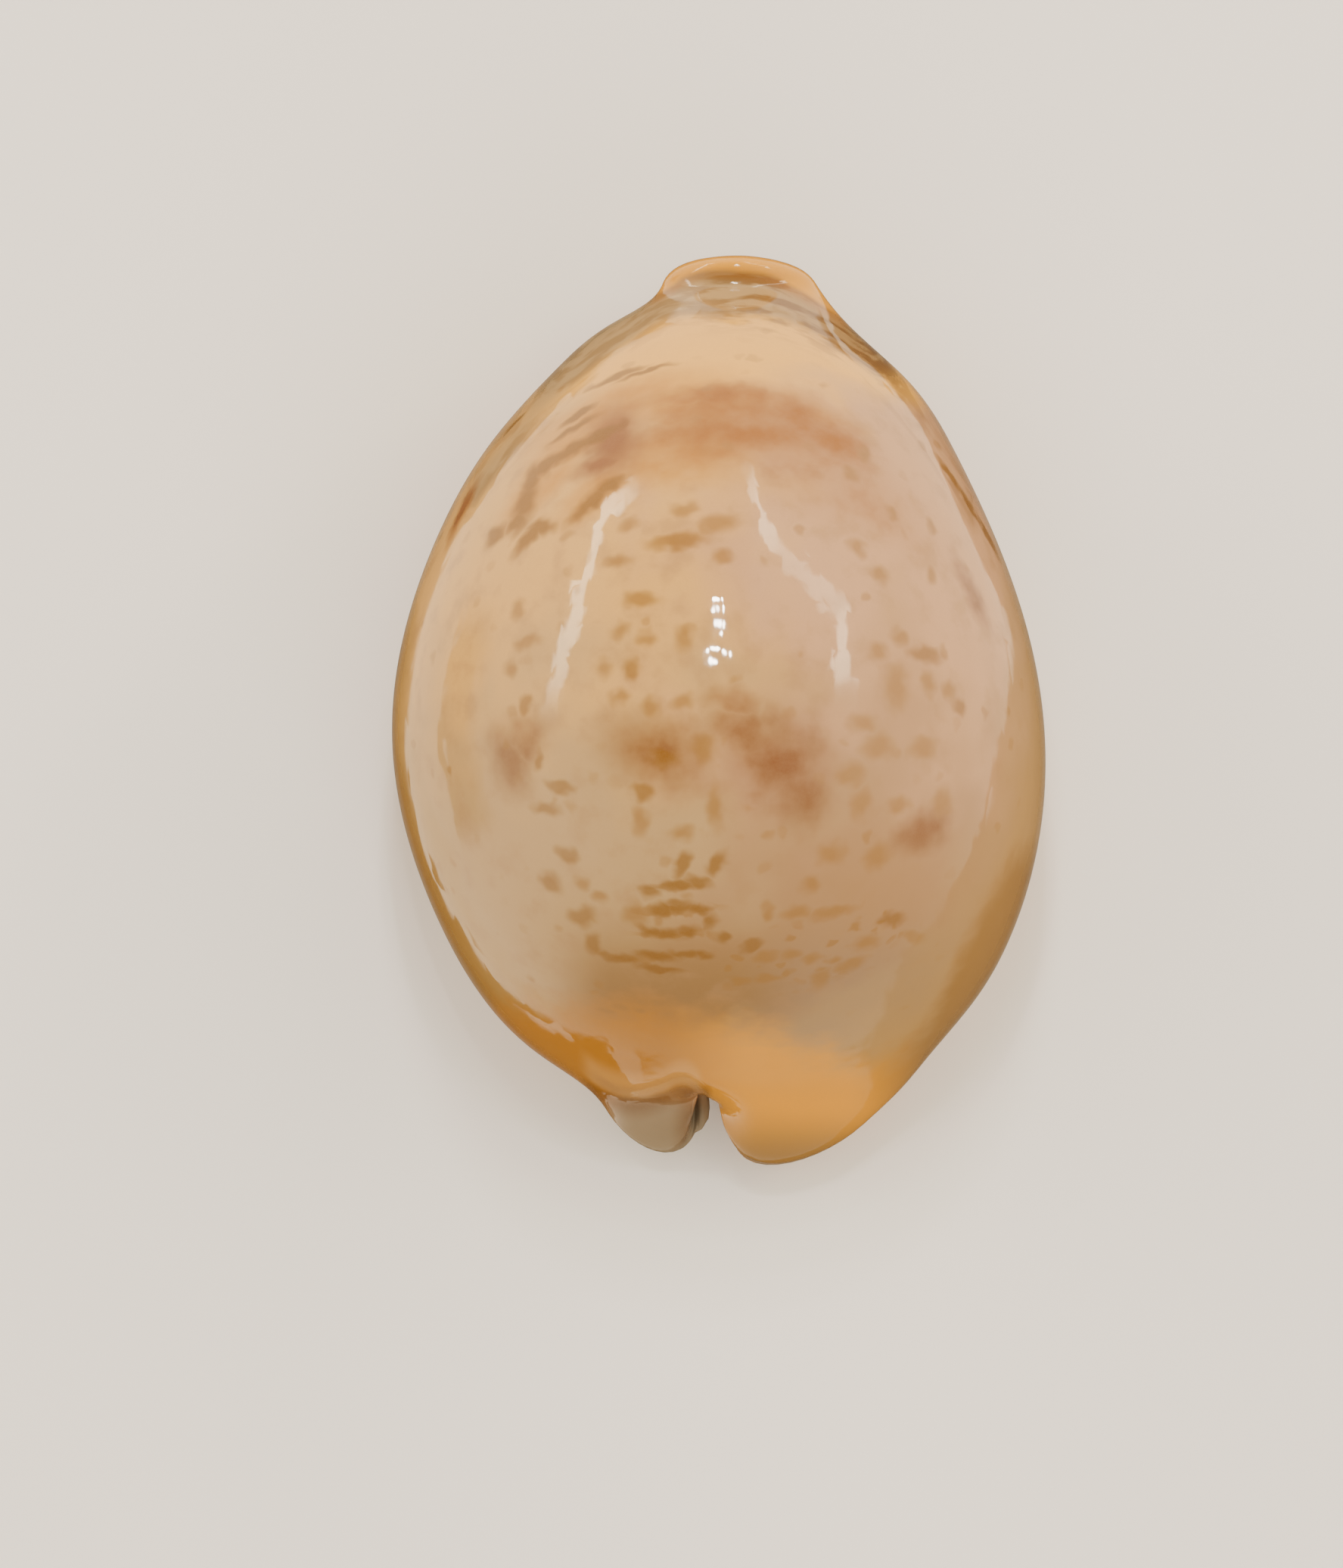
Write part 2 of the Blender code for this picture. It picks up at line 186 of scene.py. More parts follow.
# Studio: walls, ceiling and table as light of the world. Levels go from -1 straight below the shell
# to 1 straight above it, and bearings are in radians to the right of +Y. A pair is where something
# starts and where it is full.
WALL_COLOUR = (1.0, 0.8, 0.55)
WALL_LIGHT = 2.0
WALL_JAG = 0.045  # how far the upper and lower ends of the walls step up and down
JAGS = 13.0  # steps along a stretch as long as from level 0 to level 1
WALL_TOP_EDGE = (-0.03, 0.05)  # past the top of the walls, where they give way to the ceiling
WALL_FOOT_EDGE = (-0.02, 0.02)  # past their foot, where they give way to the table
CEILING_EDGE_LIGHT = 1.4  # brightness of the ceiling next to the walls
CEILING_LIGHT = 0.12  # its brightness farther on
CEILING_FADE = (0.05, 0.5)
TABLE_LIGHT = 0.12
BELOW_LIGHT = 0.2  # light from straight below, which the shell mirrors at its outline
BELOW_LEVEL = (-0.93, -1.0)
DIM_DIRECTION = (0.2, -0.98, 0.0)  # the walls are dim on this side
DIM_COSINE = (0.3, 0.88)  # cosine of the angle to that direction
DIM_SHARE = 0.25  # what is left of their light there
GAP_BEARINGS = (-2.0, -1.85), (-1.1, -1.3)  # edges of the shaded stretch of the walls on the left
GAP_LEVELS = (-0.52, -0.48), (-0.08, -0.3)
GAP_SHARE = 0.05  # what is left of their light there
# Levels of the walls' upper and lower ends, at bearings
WALL_TOP = (
    (-3.15, 0.5), (-1.9, 0.38), (-1.3, 0.4), (-0.86, 0.3), (-0.6, 0.1), (-0.4, 0.04), (0.1, 0.1),
    (0.2, 0.2), (0.32, 0.42), (0.45, 0.48), (0.9, 0.48), (1.15, 0.6), (1.55, 0.66), (3.15, 0.5),
)
WALL_FOOT = (
    (-3.15, -0.7), (-2.58, -0.73), (-2.26, -0.8), (-1.76, -0.85), (-1.43, -0.83), (-1.15, -0.82),
    (-1.0, -0.77), (-0.63, -0.74), (-0.21, -0.73), (0.1, -0.68), (0.6, -0.79), (0.88, -0.78),
    (1.2, -0.79), (1.45, -0.62), (1.76, -0.43), (2.32, -0.32), (2.74, -0.61), (3.15, -0.7),
)
# Bright strips along the top of the walls: half of their height, and their brightness at bearings
RIM_HEIGHT = 0.07
RIM_LIGHT = 16.0
RIM_GLOW = (
    (-3.15, 0.0), (-1.6, 0.0), (-1.35, 0.7), (-0.6, 1.0), (-0.35, 0.0), (0.1, 0.0), (0.25, 0.9),
    (0.5, 0.45), (0.85, 0.5), (1.1, 1.0), (1.3, 0.2), (1.5, 0.0), (3.15, 0.0),
)

# Key light: a cluster of bulbs round (y, z), in metres, with the place of each bulb as (x, y) in it
LAMP_COLOUR = (1.0, 0.95, 0.88)
KEY_PLACE = (0.235, 0.44)
BULB_SIZE = 0.0155
BULB_POWER = 0.13
BULB_SPREAD = 0.05  # metres for 1 in the places of the bulbs
BULB_LEAN = 0.5  # how much lower a bulb is for each metre farther forward
BULBS = (
    (-0.25, 1.45), (0.2, 1.5), (-0.3, 1.0), (0.3, 1.05), (-0.1, 0.35), (0.3, 0.3), (0.05, -0.1),
    (-0.75, -0.95), (-0.3, -0.8), (0.2, -0.95), (0.7, -1.0), (-0.5, -1.4),
)

# Soft boxes, which light the shell without showing in it: where each is, in metres, and its power
SOFT_BOX_SIZE = 0.5
SOFT_BOXES = (
    ((-0.45, 0.1, 0.35), 0.78), ((0.45, 0.1, 0.35), 0.6), ((0.1, -0.5, 0.3), 2.7),
    ((0.0, 0.2, 0.6), 1.15),
)

# Gloss and the ripples in it
IOR = 1.5
ROUGHNESS = (0.03, 0.06)
RIPPLES = (0.55, 0.12, 0.3)  # waves in a millimetre along x, y and z
RIPPLE_HEIGHT = 0.03
FINE_SHARE = 0.35  # height of the finer ripples, against that of the others

# Noises of the material, as (waves in a millimetre, detail)
RAGGED_NOISE = (0.9, 1.0)  # frays the edges of the markings
BROAD_NOISE = (0.16, 2.0)  # moves the changes of the ground
MIDDLING_NOISE = (0.5, 3.0)  # clouds, and unevenness in the markings
GRAIN_NOISE = (9.0, 2.0)
FINE_NOISE = (0.7, 1.0)  # finer ripples
RIPPLE_DETAIL = 2.0
NECK_LINE_DETAIL = 3.0
NOISE_RANGE = (0.3, 0.7)  # values between which nearly all of a noise lies

# Colours as the eye sees them, from 0 to 255
CREAM = (200, 155, 86)
PINKISH = (184, 142, 104)
PALE_BACK = (168, 137, 91)
PINKISH_BACK = (152, 116, 78)
# Painted shade: the low part of the back is darkened over its own colour, where less light falls on
# it
SHADED_LOW_BACK = (130, 97, 55)
SHADED_LOW_BACK_RIGHT = (140, 112, 82)
CLOUD = (150, 114, 74)
FRONT_CREAM = (222, 166, 70)
NECK = (166, 138, 94)
NECK_RIGHT = (146, 114, 70)
NECK_STREAK = (100, 64, 26)
FLANGE = (206, 144, 36)
# Painted shade: a darker band in the groove just behind the flange's edge
PAINTED_FLANGE_SHADE = (150, 92, 16)
CALLUS_LEFT = (160, 104, 18)
CALLUS_RIGHT = (208, 140, 20)
# Painted highlight: a pale line along the edge of the ledge, where the roof's edge catches the light
PAINTED_LEDGE_HIGHLIGHT = (200, 150, 84)
CALLUS_FAR_RIGHT = (136, 102, 56)
CALLUS_TIP = (138, 102, 50)
LEFT_SIDE = (144, 104, 38)
RIGHT_SIDE = (162, 128, 78)
SIDE_PALE_LEFT = (156, 118, 40)
SIDE_PALE_RIGHT = (160, 130, 84)
LOBE_GREY = (128, 116, 94)
# Painted shadow: the dark on the left lobe below the ledge and in the notch, where the roof shades it
PAINTED_LOBE_SHADOW = (92, 58, 30)
BASE = (190, 134, 62)
TOOTH_PALE = (222, 172, 98)
GROOVE = (160, 86, 24)
INSIDE = (196, 146, 98)
OCHRE = (116, 76, 18)
FAINT_OCHRE = (134, 95, 44)
BROWN_BAND = (138, 82, 18)
BLOTCH = (104, 58, 26)
MAUVE = (120, 70, 34)
ORANGE_WASH = (176, 118, 30)
FLOOR = (238, 235, 230)

# Lines where the colour changes, as y at x: callus of the back end, flange and neck
BACK_CALLUS = (
    (-15.0, -17.0), (-10.5, -17.4), (-8.0, -17.4), (-5.0, -17.2), (-2.0, -17.9), (1.5, -18.6),
    (5.9, -19.9), (8.9, -20.8), (11.8, -19.4), (14.8, -13.9), (17.8, -8.0),
)
FLANGE_EDGE = (
    (-4.6, 25.2), (-3.8, 25.4), (-3.0, 25.8), (-1.8, 26.5), (-0.3, 26.8), (1.4, 26.7), (3.0, 26.5),
    (4.4, 25.9), (5.6, 25.2), (6.6, 24.5), (7.6, 23.9),
)
NECK_EDGE = (
    (-14.9, 12.4), (-12.4, 15.8), (-9.4, 19.3), (-5.5, 22.4), (-2.3, 24.1), (2.3, 24.1), (6.5, 22.6),
    (9.9, 19.9), (12.4, 16.9), (15.5, 11.4),
)
# The same for the callus along each side, as its height z at y
LEFT_CALLUS = (
    (-25.0, 15.0), (-18.0, 16.5), (-8.0, 17.5), (0.0, 16.5), (7.0, 12.0), (13.0, 3.0), (22.0, -8.0),
)
RIGHT_CALLUS = (
    (-25.0, 17.0), (-16.0, 20.0), (-8.0, 21.0), (0.0, 19.0), (6.0, 15.5), (13.0, 6.0), (22.0, -8.0),
)
# The edge of the neck lies farther forward down the flanks: over |x|, over z, and by how much
FLANK_X = (8.0, 14.0)
FLANK_Z = (16.0, 0.0)
FLANK_SHIFT = 10.0

# Changes from one colour to the next, as x or y where the change starts and where it is full
BACK_TO_RIGHT = (-6.0, 8.0)
BACK_TO_FRONT = (-9.0, 8.0)
SHADED_LOW_BACK_TO_RIGHT = (0.0, 7.0)
TO_FRONT_CREAM = (17.5, 21.0)
NECK_TO_RIGHT = (1.0, 6.0)
SIDE_TO_RIGHT = (-1.0, 1.0)
CALLUS_TO_RIGHT = (-4.0, 2.5)
CALLUS_TO_FAR_RIGHT = (7.5, 13.0)
CALLUS_TO_TIP = (-24.0, -27.5)
NECK_LINES_TO_RIGHT = (-3.0, 5.0)

# How far noise moves the changes of the back, the front cream and the upper ends of the callus
BACK_DRIFT = 5.0
FRONT_DRIFT = 1.5
SIDE_DRIFT = 1.2
CALLUS_DRIFT = 0.5

# Areas, each as its edges: what is measured, where the area starts and where it is full. In mm,
# past_neck and past_flange go forward from their lines, past_callus and past_ledge backward, and
# above_callus up. lines and middling are noises.
# Where the low part of the back is darkened by painted shade
SHADED_LOW_BACK_AREA = (("y", -11.0, -17.5), ("x", -11.5, -6.5))
CLOUDS = (("middling", 0.45, 0.75),)
NECK_AREA = (("past_neck", -0.4, 0.6), ("y", 9.0, 13.0))
NECK_LINES = (("lines", 0.44, 0.6), ("past_neck", -1.6, 0.8), ("y", 9.0, 15.0))
FRECKLED_BACK = (("z", 10.0, 14.0),)
SIDE_PALE_AREA = (("above_callus", 3.0, 0.0),)
SIDE_AREA = (("above_callus", 0.5, -5.0),)
CALLUS_AREA = (("past_callus", -0.8, 2.4),)
LEDGE_ENDS = (("x", -8.8, -7.6), ("x", -0.8, -1.4))
AHEAD_OF_BACK_END = (("y", -25.0, -22.5),)
LEFT_LOBE_BELOW = (("y", -22.5, -23.5), ("x", 0.6, -0.2))

# Colours of the two ends, with painted highlight and painted shade among them, in the order in which
# they are laid on, as (colour, strength, area)
END_COLOURS = (
    (LOBE_GREY, 0.85, (("x", -0.2, -1.2), ("y", -23.0, -24.6), ("x", -8.0, -5.8))),
    # A painted highlight along the edge of the ledge
    (PAINTED_LEDGE_HIGHLIGHT, 0.45, (("past_ledge", -1.2, -0.2), ("past_ledge", 0.95, 0.5), *LEDGE_ENDS)),
    # Painted shadow on the lobe, just below the ledge
    (PAINTED_LOBE_SHADOW, 0.6, (("past_ledge", 0.6, 1.1), ("past_ledge", 2.4, 1.2), *LEDGE_ENDS)),
    # Painted shadow in the notch at the end of the canal
    (PAINTED_LOBE_SHADOW, 0.6, (("x", -3.2, -1.6), ("x", -0.2, -0.8), ("y", -22.6, -23.4))),
    # Painted shade in the groove behind the flange
    (PAINTED_FLANGE_SHADE, 0.5, (("past_flange", -0.6, 0.05), ("y", 22.0, 23.0))),
    (FLANGE, 1.0, (("past_flange", 0.05, 0.5), ("y", 22.0, 23.0))),
)

# How much of a colour is laid over the one below, where it is full
CLOUD_STRENGTH = 0.45
GRAIN_STRENGTH = 0.1
FRECKLE_STRENGTH = 0.55
SPECK_STRENGTH = 0.65
WAVE_STRENGTH = 0.6
SIDE_PALE_STRENGTH = 0.5
CALLUS_SPECK_STRENGTH = 0.6
NECK_LINE_STRENGTH = (0.4, 0.85)  # on the left and on the right
UNEVEN_STRENGTH = (0.6, 1.0)  # least and most, where noise varies it
TOOTH_STRENGTH = 0.7
GROOVE_STRENGTH = 0.75

NECK_LINE_WAVES = (0.35, 1.8, 0.3)  # lines in a millimetre along x, past_neck and z

# Fine spots, at most one to a cell: cells in a millimetre, how far from a cell's middle its spot
# starts and is full, and the cell's random number from which it has a faint spot and a full one
FRECKLES = (0.55, (0.32, 0.12), (0.45, 0.9))
SPECKS = (0.95, (0.42, 0.2), (0.2, 0.5))

# Markings as (x, y, length, width, turn): where each lies seen from above, its size on the surface,
# and the angle in degrees between its length and +X, where that isn't 0
DARK_SPOTS = (
    (-2.6, 10.2, 2.7, 0.8), (-4.8, 6.6, 1.8, 0.9, -5), (-11.8, 0.4, 0.7, 0.9),
    (-5.3, 2.4, 0.8, 1.0), (-10.9, -3.1, 0.6, 0.8), (-9.7, -4.7, 1.5, 0.6, -5),
    (-10.5, -6.0, 1.6, 0.7, 5), (-9.2, -8.8, 1.0, 0.9), (-10.2, -10.5, 1.1, 1.2, 20),
    (-8.3, -12.5, 1.5, 1.1, 30), (-7.7, -14.2, 0.9, 1.5), (-6.1, -15.0, 2.0, 0.6, 5),
    (10.5, -12.7, 1.4, 0.9, -20), (2.0, -14.3, 1.2, 0.6, 40), (14.6, 0.2, 1.0, 0.8),
    (-4.7, -5.0, 1.0, 0.8), (-3.3, -3.0, 1.4, 0.8), (12.5, 3.3, 2.1, 0.8, 5),
)
WAVE_MARKS = (
    (-4.2, -11.0, 0.9, 0.7), (-2.5, -10.6, 2.1, 0.6, 12), (-1.3, -10.4, 1.2, 0.6, -25),
    (-2.3, -9.5, 0.6, 1.4, -20), (-0.2, -9.4, 0.7, 1.4, -35), (-3.6, -12.1, 1.1, 0.9),
    (-2.5, -11.9, 1.7, 0.6, 5), (-1.2, -12.1, 1.1, 0.6, -30), (-0.6, -12.8, 0.7, 0.9, -10),
    (-4.1, -13.4, 1.2, 0.6, -15), (-3.1, -13.6, 1.4, 0.7), (-2.0, -13.4, 1.2, 0.6, 20),
    (-3.7, -14.9, 1.9, 0.6, 5), (-2.1, -14.8, 1.4, 0.5), (-1.0, -14.9, 1.0, 0.5, -15),
    (0.2, -13.9, 0.8, 0.7), (-3.6, -15.7, 2.1, 0.5),
)
FAINT_SPOTS = (
    (-12.2, 6.0, 0.9, 0.9), (-6.0, 4.8, 0.9, 0.7), (-5.5, 11.2, 0.9, 0.8), (-6.2, 8.9, 1.2, 0.7),
    (-2.1, 12.2, 1.2, 0.8), (-0.1, 11.3, 1.7, 0.9, 20), (0.3, 9.3, 0.9, 0.7),
    (10.5, 11.9, 0.7, 0.7), (8.9, 15.5, 0.8, 0.9, 20), (8.0, 14.3, 0.8, 0.9),
    (12.9, 11.1, 0.6, 0.8), (8.3, 9.8, 0.9, 0.9), (9.7, 8.1, 0.9, 0.8), (12.9, 8.1, 0.6, 0.9),
    (-12.6, 2.5, 0.8, 0.8), (-11.6, 4.1, 1.4, 0.6), (-4.4, 4.2, 0.9, 0.8), (-2.2, 4.3, 0.9, 1.2),
    (-7.0, 2.5, 0.9, 0.8), (-4.1, 0.2, 0.8, 0.9), (-2.1, 0.5, 1.0, 0.8), (-6.0, 0.8, 0.8, 0.8),
    (-8.3, -10.5, 0.8, 0.7), (-7.3, -11.3, 0.8, 0.7), (-5.1, -12.4, 1.0, 1.4),
    (-0.3, -5.9, 0.7, 1.9), (-2.2, -7.5, 0.9, 0.8), (-4.8, -6.7, 0.7, 1.4), (-0.9, -2.3, 0.9, 1.2),
    (9.6, 3.4, 1.0, 0.9), (10.9, 4.3, 0.9, 0.7), (10.7, 1.4, 1.4, 1.9), (12.7, 1.6, 0.9, 1.0),
    (13.9, 1.1, 0.9, 0.8), (9.6, -2.3, 1.7, 1.0), (12.4, -2.3, 1.6, 0.9), (8.6, -0.8, 1.4, 0.9),
    (7.9, -4.0, 1.2, 1.0), (8.6, -5.7, 1.0, 1.4), (10.8, -5.7, 1.2, 0.7), (13.5, -5.6, 1.2, 1.2),
    (6.8, -8.7, 1.2, 1.2, 20), (9.6, -8.8, 1.4, 1.2), (5.5, -10.6, 0.9, 0.9),
    (6.8, -12.3, 2.1, 0.6), (4.7, -12.3, 1.2, 0.7), (3.0, -12.3, 0.6, 0.9), (2.8, -15.0, 1.0, 0.7),
    (4.3, -14.9, 1.0, 0.7), (5.7, -15.1, 0.9, 0.7), (7.9, -15.5, 1.4, 0.9), (8.9, -14.2, 1.2, 0.9),
    (3.0, -16.3, 1.4, 0.6), (1.3, -16.4, 0.9, 0.6), (6.2, -16.3, 0.9, 1.4, -20),
    (11.8, -13.8, 1.4, 0.6, -35), (6.9, -15.2, 0.7, 0.6),
)
STREAKS = (
    (-6.2, 20.4, 2.8, 0.6, 10), (-4.4, 20.7, 2.6, 0.5, 14), (-8.6, 18.0, 2.0, 0.6, 41),
    (-7.5, 16.6, 2.8, 0.9, 20), (-9.0, 15.8, 2.6, 1.0, 26), (-10.4, 15.0, 2.4, 1.1, 26),
    (-11.4, 14.0, 1.1, 2.2, -12), (-11.8, 12.6, 1.5, 2.4, -15), (-12.3, 11.3, 1.4, 1.4),
    (-13.6, 10.6, 1.4, 1.2, 30), (-11.6, 10.4, 2.2, 0.9, 38), (-10.8, 11.1, 1.8, 0.9, -18),
    (-6.8, 13.5, 1.8, 0.8, 30), (-7.9, 12.5, 2.6, 1.0, 46), (-8.9, 17.1, 2.4, 0.6, 25),
    (14.1, 14.4, 0.7, 2.1, 35), (15.3, 12.6, 0.8, 2.6, 30), (16.5, 10.6, 0.8, 2.6, 28),
    (-12.6, 17.5, 1.2, 0.6, 50),
)
BAND_MARKS = (
    (1.0, 17.6, 6.8, 4.4), (3.2, 17.9, 8.6, 4.2, -8), (0.6, 19.2, 7.1, 1.9, -3),
    (6.4, 16.8, 4.8, 2.8, -20), (-1.4, 17.0, 4.6, 2.2),
)
BLOTCHES = (
    (-12.8, -2.9, 2.1, 3.1, 20), (-11.9, -1.7, 2.6, 2.1), (-3.9, -2.4, 4.5, 2.8, -10),
    (3.6, -3.0, 4.6, 3.8, -30), (1.9, -1.6, 3.4, 2.0, -30), (0.9, 0.4, 2.4, 1.2, -15),
    (4.8, -5.2, 2.6, 2.8), (15.4, 7.1, 1.4, 3.1, 25), (12.4, -7.4, 2.8, 1.8),
)
MAUVE_MARKS = (
    (-6.5, 16.4, 2.6, 4.5), (-6.1, 17.1, 1.4, 2.1, -10), (-7.2, 15.0, 2.6, 1.4),
    (-15.7, 12.2, 1.2, 3.1, -25),
)
CALLUS_SPECKS = ((-6.9, -18.3, 0.9, 0.4, 10), (-6.0, -18.1, 0.8, 0.5), (-4.8, -18.3, 0.5, 0.4))
ORANGE_WASHES = (
    (-6.0, 18.9, 9.0, 3.2, 12), (-1.5, 18.8, 6.0, 3.0), (-11.0, 13.6, 4.5, 2.4, 35),
    (-7.4, 13.2, 4.0, 2.2, 38), (-8.2, 17.2, 5.6, 3.2, 25), (-9.6, 15.6, 4.6, 2.6, 28),
    (-3.0, 15.4, 6.0, 3.6),
)
BROWN_WASHES = ((5.6, 14.6, 11.0, 4.4, -12), (1.0, 16.0, 9.0, 3.0), (9.0, 12.8, 6.0, 3.0, -25))
# Where the back end of the back has wavy cross lines, and where it is thick with fine specks
WAVY_GROUND = ((-2.6, -12.9, 4.2, 5.2), (-4.4, -15.0, 4.4, 1.6))
SPECKLED_GROUND = (
    (5.6, -14.8, 7.6, 4.0, -10), (1.6, -15.2, 3.0, 2.4), (10.2, -12.8, 3.4, 2.4, -30),
)
GROUND_SOFTNESS = 0.4
CALLUS_SPECK_SOFTNESS = 0.6

# Wavy lines
WAVE_SPACING = 1.45
FIRST_WAVE = -10.6  # y of one of them
WAVE_BEND = 1.8  # how far noise moves them, in radians of a wave
WAVE_EDGE = (0.2, 0.85)  # cosine of a wave at which its line starts and is full
WAVE_BREAKS = (0.36, 0.5)  # noise at which the lines start and are full

# Markings under and over the fine spots in the order in which they are laid on: their places, the
# softness of their edges, their strength, whether noise makes them uneven, and their colour
LOWER_MARKS = (
    (ORANGE_WASHES, 0.6, 0.85, True, ORANGE_WASH),
    (BROWN_WASHES, 0.8, 0.5, True, BROWN_BAND),
    (BAND_MARKS, 0.55, 1.0, True, BROWN_BAND),
    (BLOTCHES, 0.8, 0.88, True, BLOTCH),
    (MAUVE_MARKS, 0.75, 0.95, False, MAUVE),
)
UPPER_MARKS = (
    (FAINT_SPOTS, 0.7, 0.7, False, FAINT_OCHRE),
    (STREAKS, 0.55, 0.85, False, OCHRE),
    (WAVE_MARKS, 0.6, 0.75, False, OCHRE),
    (DARK_SPOTS, 0.55, 0.65, False, OCHRE),
)

# Sockets of a Mix node for each kind of data: the first and the second input, and the output
MIX_SOCKETS = {"FLOAT": (2, 3, 0), "RGBA": (6, 7, 2)}


def line(stations, place):
    """The value at each place on a natural cubic spline through the stations."""
    at, value = np.array(stations).T
    gap = np.diff(at)
    rise = np.diff(value) / gap
    bend = np.zeros(len(at))
    system = np.diag(2 * (gap[:-1] + gap[1:])) + np.diag(gap[1:-1], 1) + np.diag(gap[1:-1], -1)
    bend[1:-1] = np.linalg.solve(system, 6 * np.diff(rise))
    k = np.clip(np.searchsorted(at, place, side="right") - 1, 0, len(gap) - 1)
    t = place - at[k]
    slope = rise[k] - gap[k] * (2 * bend[k] + bend[k + 1]) / 6
    return value[k] + t * (slope + t * (bend[k] / 2 + t * (bend[k + 1] - bend[k]) / (6 * gap[k])))


def ease(t):
    """From 0 to 1 with flat ends."""
    t = np.clip(t, 0, 1)
    return t * t * (3 - 2 * t)


def bezier(t, a, b, c, d):
    return (1 - t) ** 3 * a + 3 * (1 - t) ** 2 * t * b + 3 * (1 - t) * t**2 * c + t**3 * d


def unit(vectors):
    return vectors / np.linalg.norm(vectors, axis=-1, keepdims=True)


def section(way, ridge, left, right, mouth, reach, lip_z):
    """x and z round a section: quarters from the ridge to the sides, and from there to the lips."""
    side_x, side_z = np.where(way > 0, right, left)
    lip_x = mouth + np.where(way > 0, reach, -reach)
    ridge_x, ridge_z = ridge
    top_x = ridge_x + TOP_FULLNESS * (side_x - ridge_x)
    shoulder_z = side_z + SIDE_FULLNESS * (ridge_z - side_z)
    low_z = lip_z - LIP_LIFT
    under_z = side_z - UNDER_FULLNESS * (side_z - low_z)
    base_x = lip_x + BASE_FULLNESS * (side_x - lip_x)
    t = np.abs(way) / SIDE
    u = (np.abs(way) - SIDE) / (1 - SIDE)
    upper = bezier(t, ridge_x, top_x, side_x, side_x), bezier(t, ridge_z, ridge_z, shoulder_z, side_z)
    lower = bezier(u, side_x, side_x, base_x, lip_x), bezier(u, side_z, under_z, low_z, lip_z)
    return np.where(t < 1, upper, lower)


def end_y(way, along):
    """y at each place of the sheet: straight sections in the middle, the lines of the ends beyond."""
    back, front = BACK_END[0][1], FRONT_END[0][1]
    to_back = (1 - ease(along / END_FADE)) * (line(BACK_END, way) - back)
    to_front = (1 - ease((1 - along) / END_FADE)) * (line(FRONT_END, way) - front)
    return back + (front - back) * along + to_back + to_front


def outer_face(way, along):
    y = end_y(way, along)
    side_z = line(SIDE_Z, y)
    x, z = section(
        way,
        (line(RIDGE_X, y), line(RIDGE_Z, y)),
        (line(LEFT_EDGE, y), side_z),
        (line(RIGHT_EDGE, y), side_z),
        line(MOUTH_X, y),
        line(HALF_GAP, y) + LIP_ROUND,
        line(BASE_Z, y) + LIP_LIFT,
    )
    return np.stack([x, y, z], axis=-1)


def inner_face(way, along):
    y = end_y(way, along)
    side_z = line(HOLLOW_SIDE_Z, y)
    left, right = line(HOLLOW_LEFT, y), line(HOLLOW_RIGHT, y)
    x, z = section(
        way,
        ((left + right) / 2, line(HOLLOW_TOP_Z, y)),
        (left, side_z),
        (right, side_z),
        line(MOUTH_X, y),
        line(HALF_GAP, y) + INNER_LIP_ROUND,
        line(BASE_Z, y) + LIP_LIFT + line(LIP_THICKNESS, y),
    )
    return np.stack([x, y, z], axis=-1)


def tooth(way, along):
    """How far the teeth of a lip stand out at each place along it."""
    count = np.where(way > 0, OUTER_TEETH, INNER_TEETH)
    fade = ease(np.minimum(along, 1 - along) / TOOTH_FADE)
    return TOOTH_HEIGHT * fade * (1 - np.cos(2 * math.pi * count * along)) / 2


def below_ledge(points):
    """How far each point drops, being past the ledge, on top of the left lobe."""
    x, y, z = np.moveaxis(points, -1, 0)
    ledge_y = line(LEDGE, np.clip(x, LEDGE[0][0], LEDGE[-1][0]))
    past = ease((ledge_y - y) / LEDGE_SOFTNESS)
    on_lobe = ease((x - LEDGE[0][0]) / LEDGE_FADE) * ease((z - LEDGE_FOOT_Z) / LEDGE_FOOT_RISE)
    return LEDGE_DROP * past * on_lobe


def outward(face, way, along):
    """Unit vectors that leave the face over its edge, turning from lips to ends at the corners."""
    side = np.where(way > 0, 1.0, -1.0)
    end = np.where(along > 0.5, 1.0, 0.0)
    over_lip = unit(face(side, along) - face(side * (1 - NUDGE), along))
    over_end = unit(face(way, end) - face(way, np.abs(end - NUDGE)))
    to_end = np.minimum(along, 1 - along)
    to_lip = 1 - np.abs(way)
    lip_share = ease(0.5 + (to_end - to_lip) / (2 * CORNER))[:, None]
    return unit(lip_share * over_lip + (1 - lip_share) * over_end)


def edge_rings(way, along):
    """The rounded edge of the sheet as rings of points, from its outer face to its inner face."""
    outer, inner = outer_face(way, along), inner_face(way, along)
    thickness = np.linalg.norm(outer - inner, axis=-1)
    on_end = ease(1 - np.minimum(along, 1 - along) / CORNER)
    end_depth = np.where(along < 0.5, BACK_ROUND * np.sqrt(thickness), FRONT_ROUND * thickness)
    depth = LIP_ROUND * (1 - on_end) + end_depth * on_end
    handle = depth[:, None] / HANDLE_SHARE
    outer_handle = outer + handle * outward(outer_face, way, along)
    inner_handle = inner + handle * outward(inner_face, way, along)
    stand_out = tooth(way, along) * (np.abs(way) == 1)
    rings = []
    for t in np.linspace(0, 1, EDGE_ROWS + 1):
        ring = bezier(t, outer, outer_handle, inner_handle, inner)
        ring[:, 2] -= below_ledge(ring) * (1 - t * t)
        fading = stand_out * (1 - ease(2 * t - 1))
        ring[:, 0] -= np.sign(way) * fading * math.sin(math.pi * t)
        ring[:, 2] -= fading * math.cos(math.pi * t)
        rings.append(ring)
    return rings


def steps_round(count):
    """Values of way from -1 to 1, closer together towards the lips."""
    even = np.linspace(-1, 1, count + 1)
    return (1 - CROWDING) * even + CROWDING * np.sin(even * math.pi / 2)


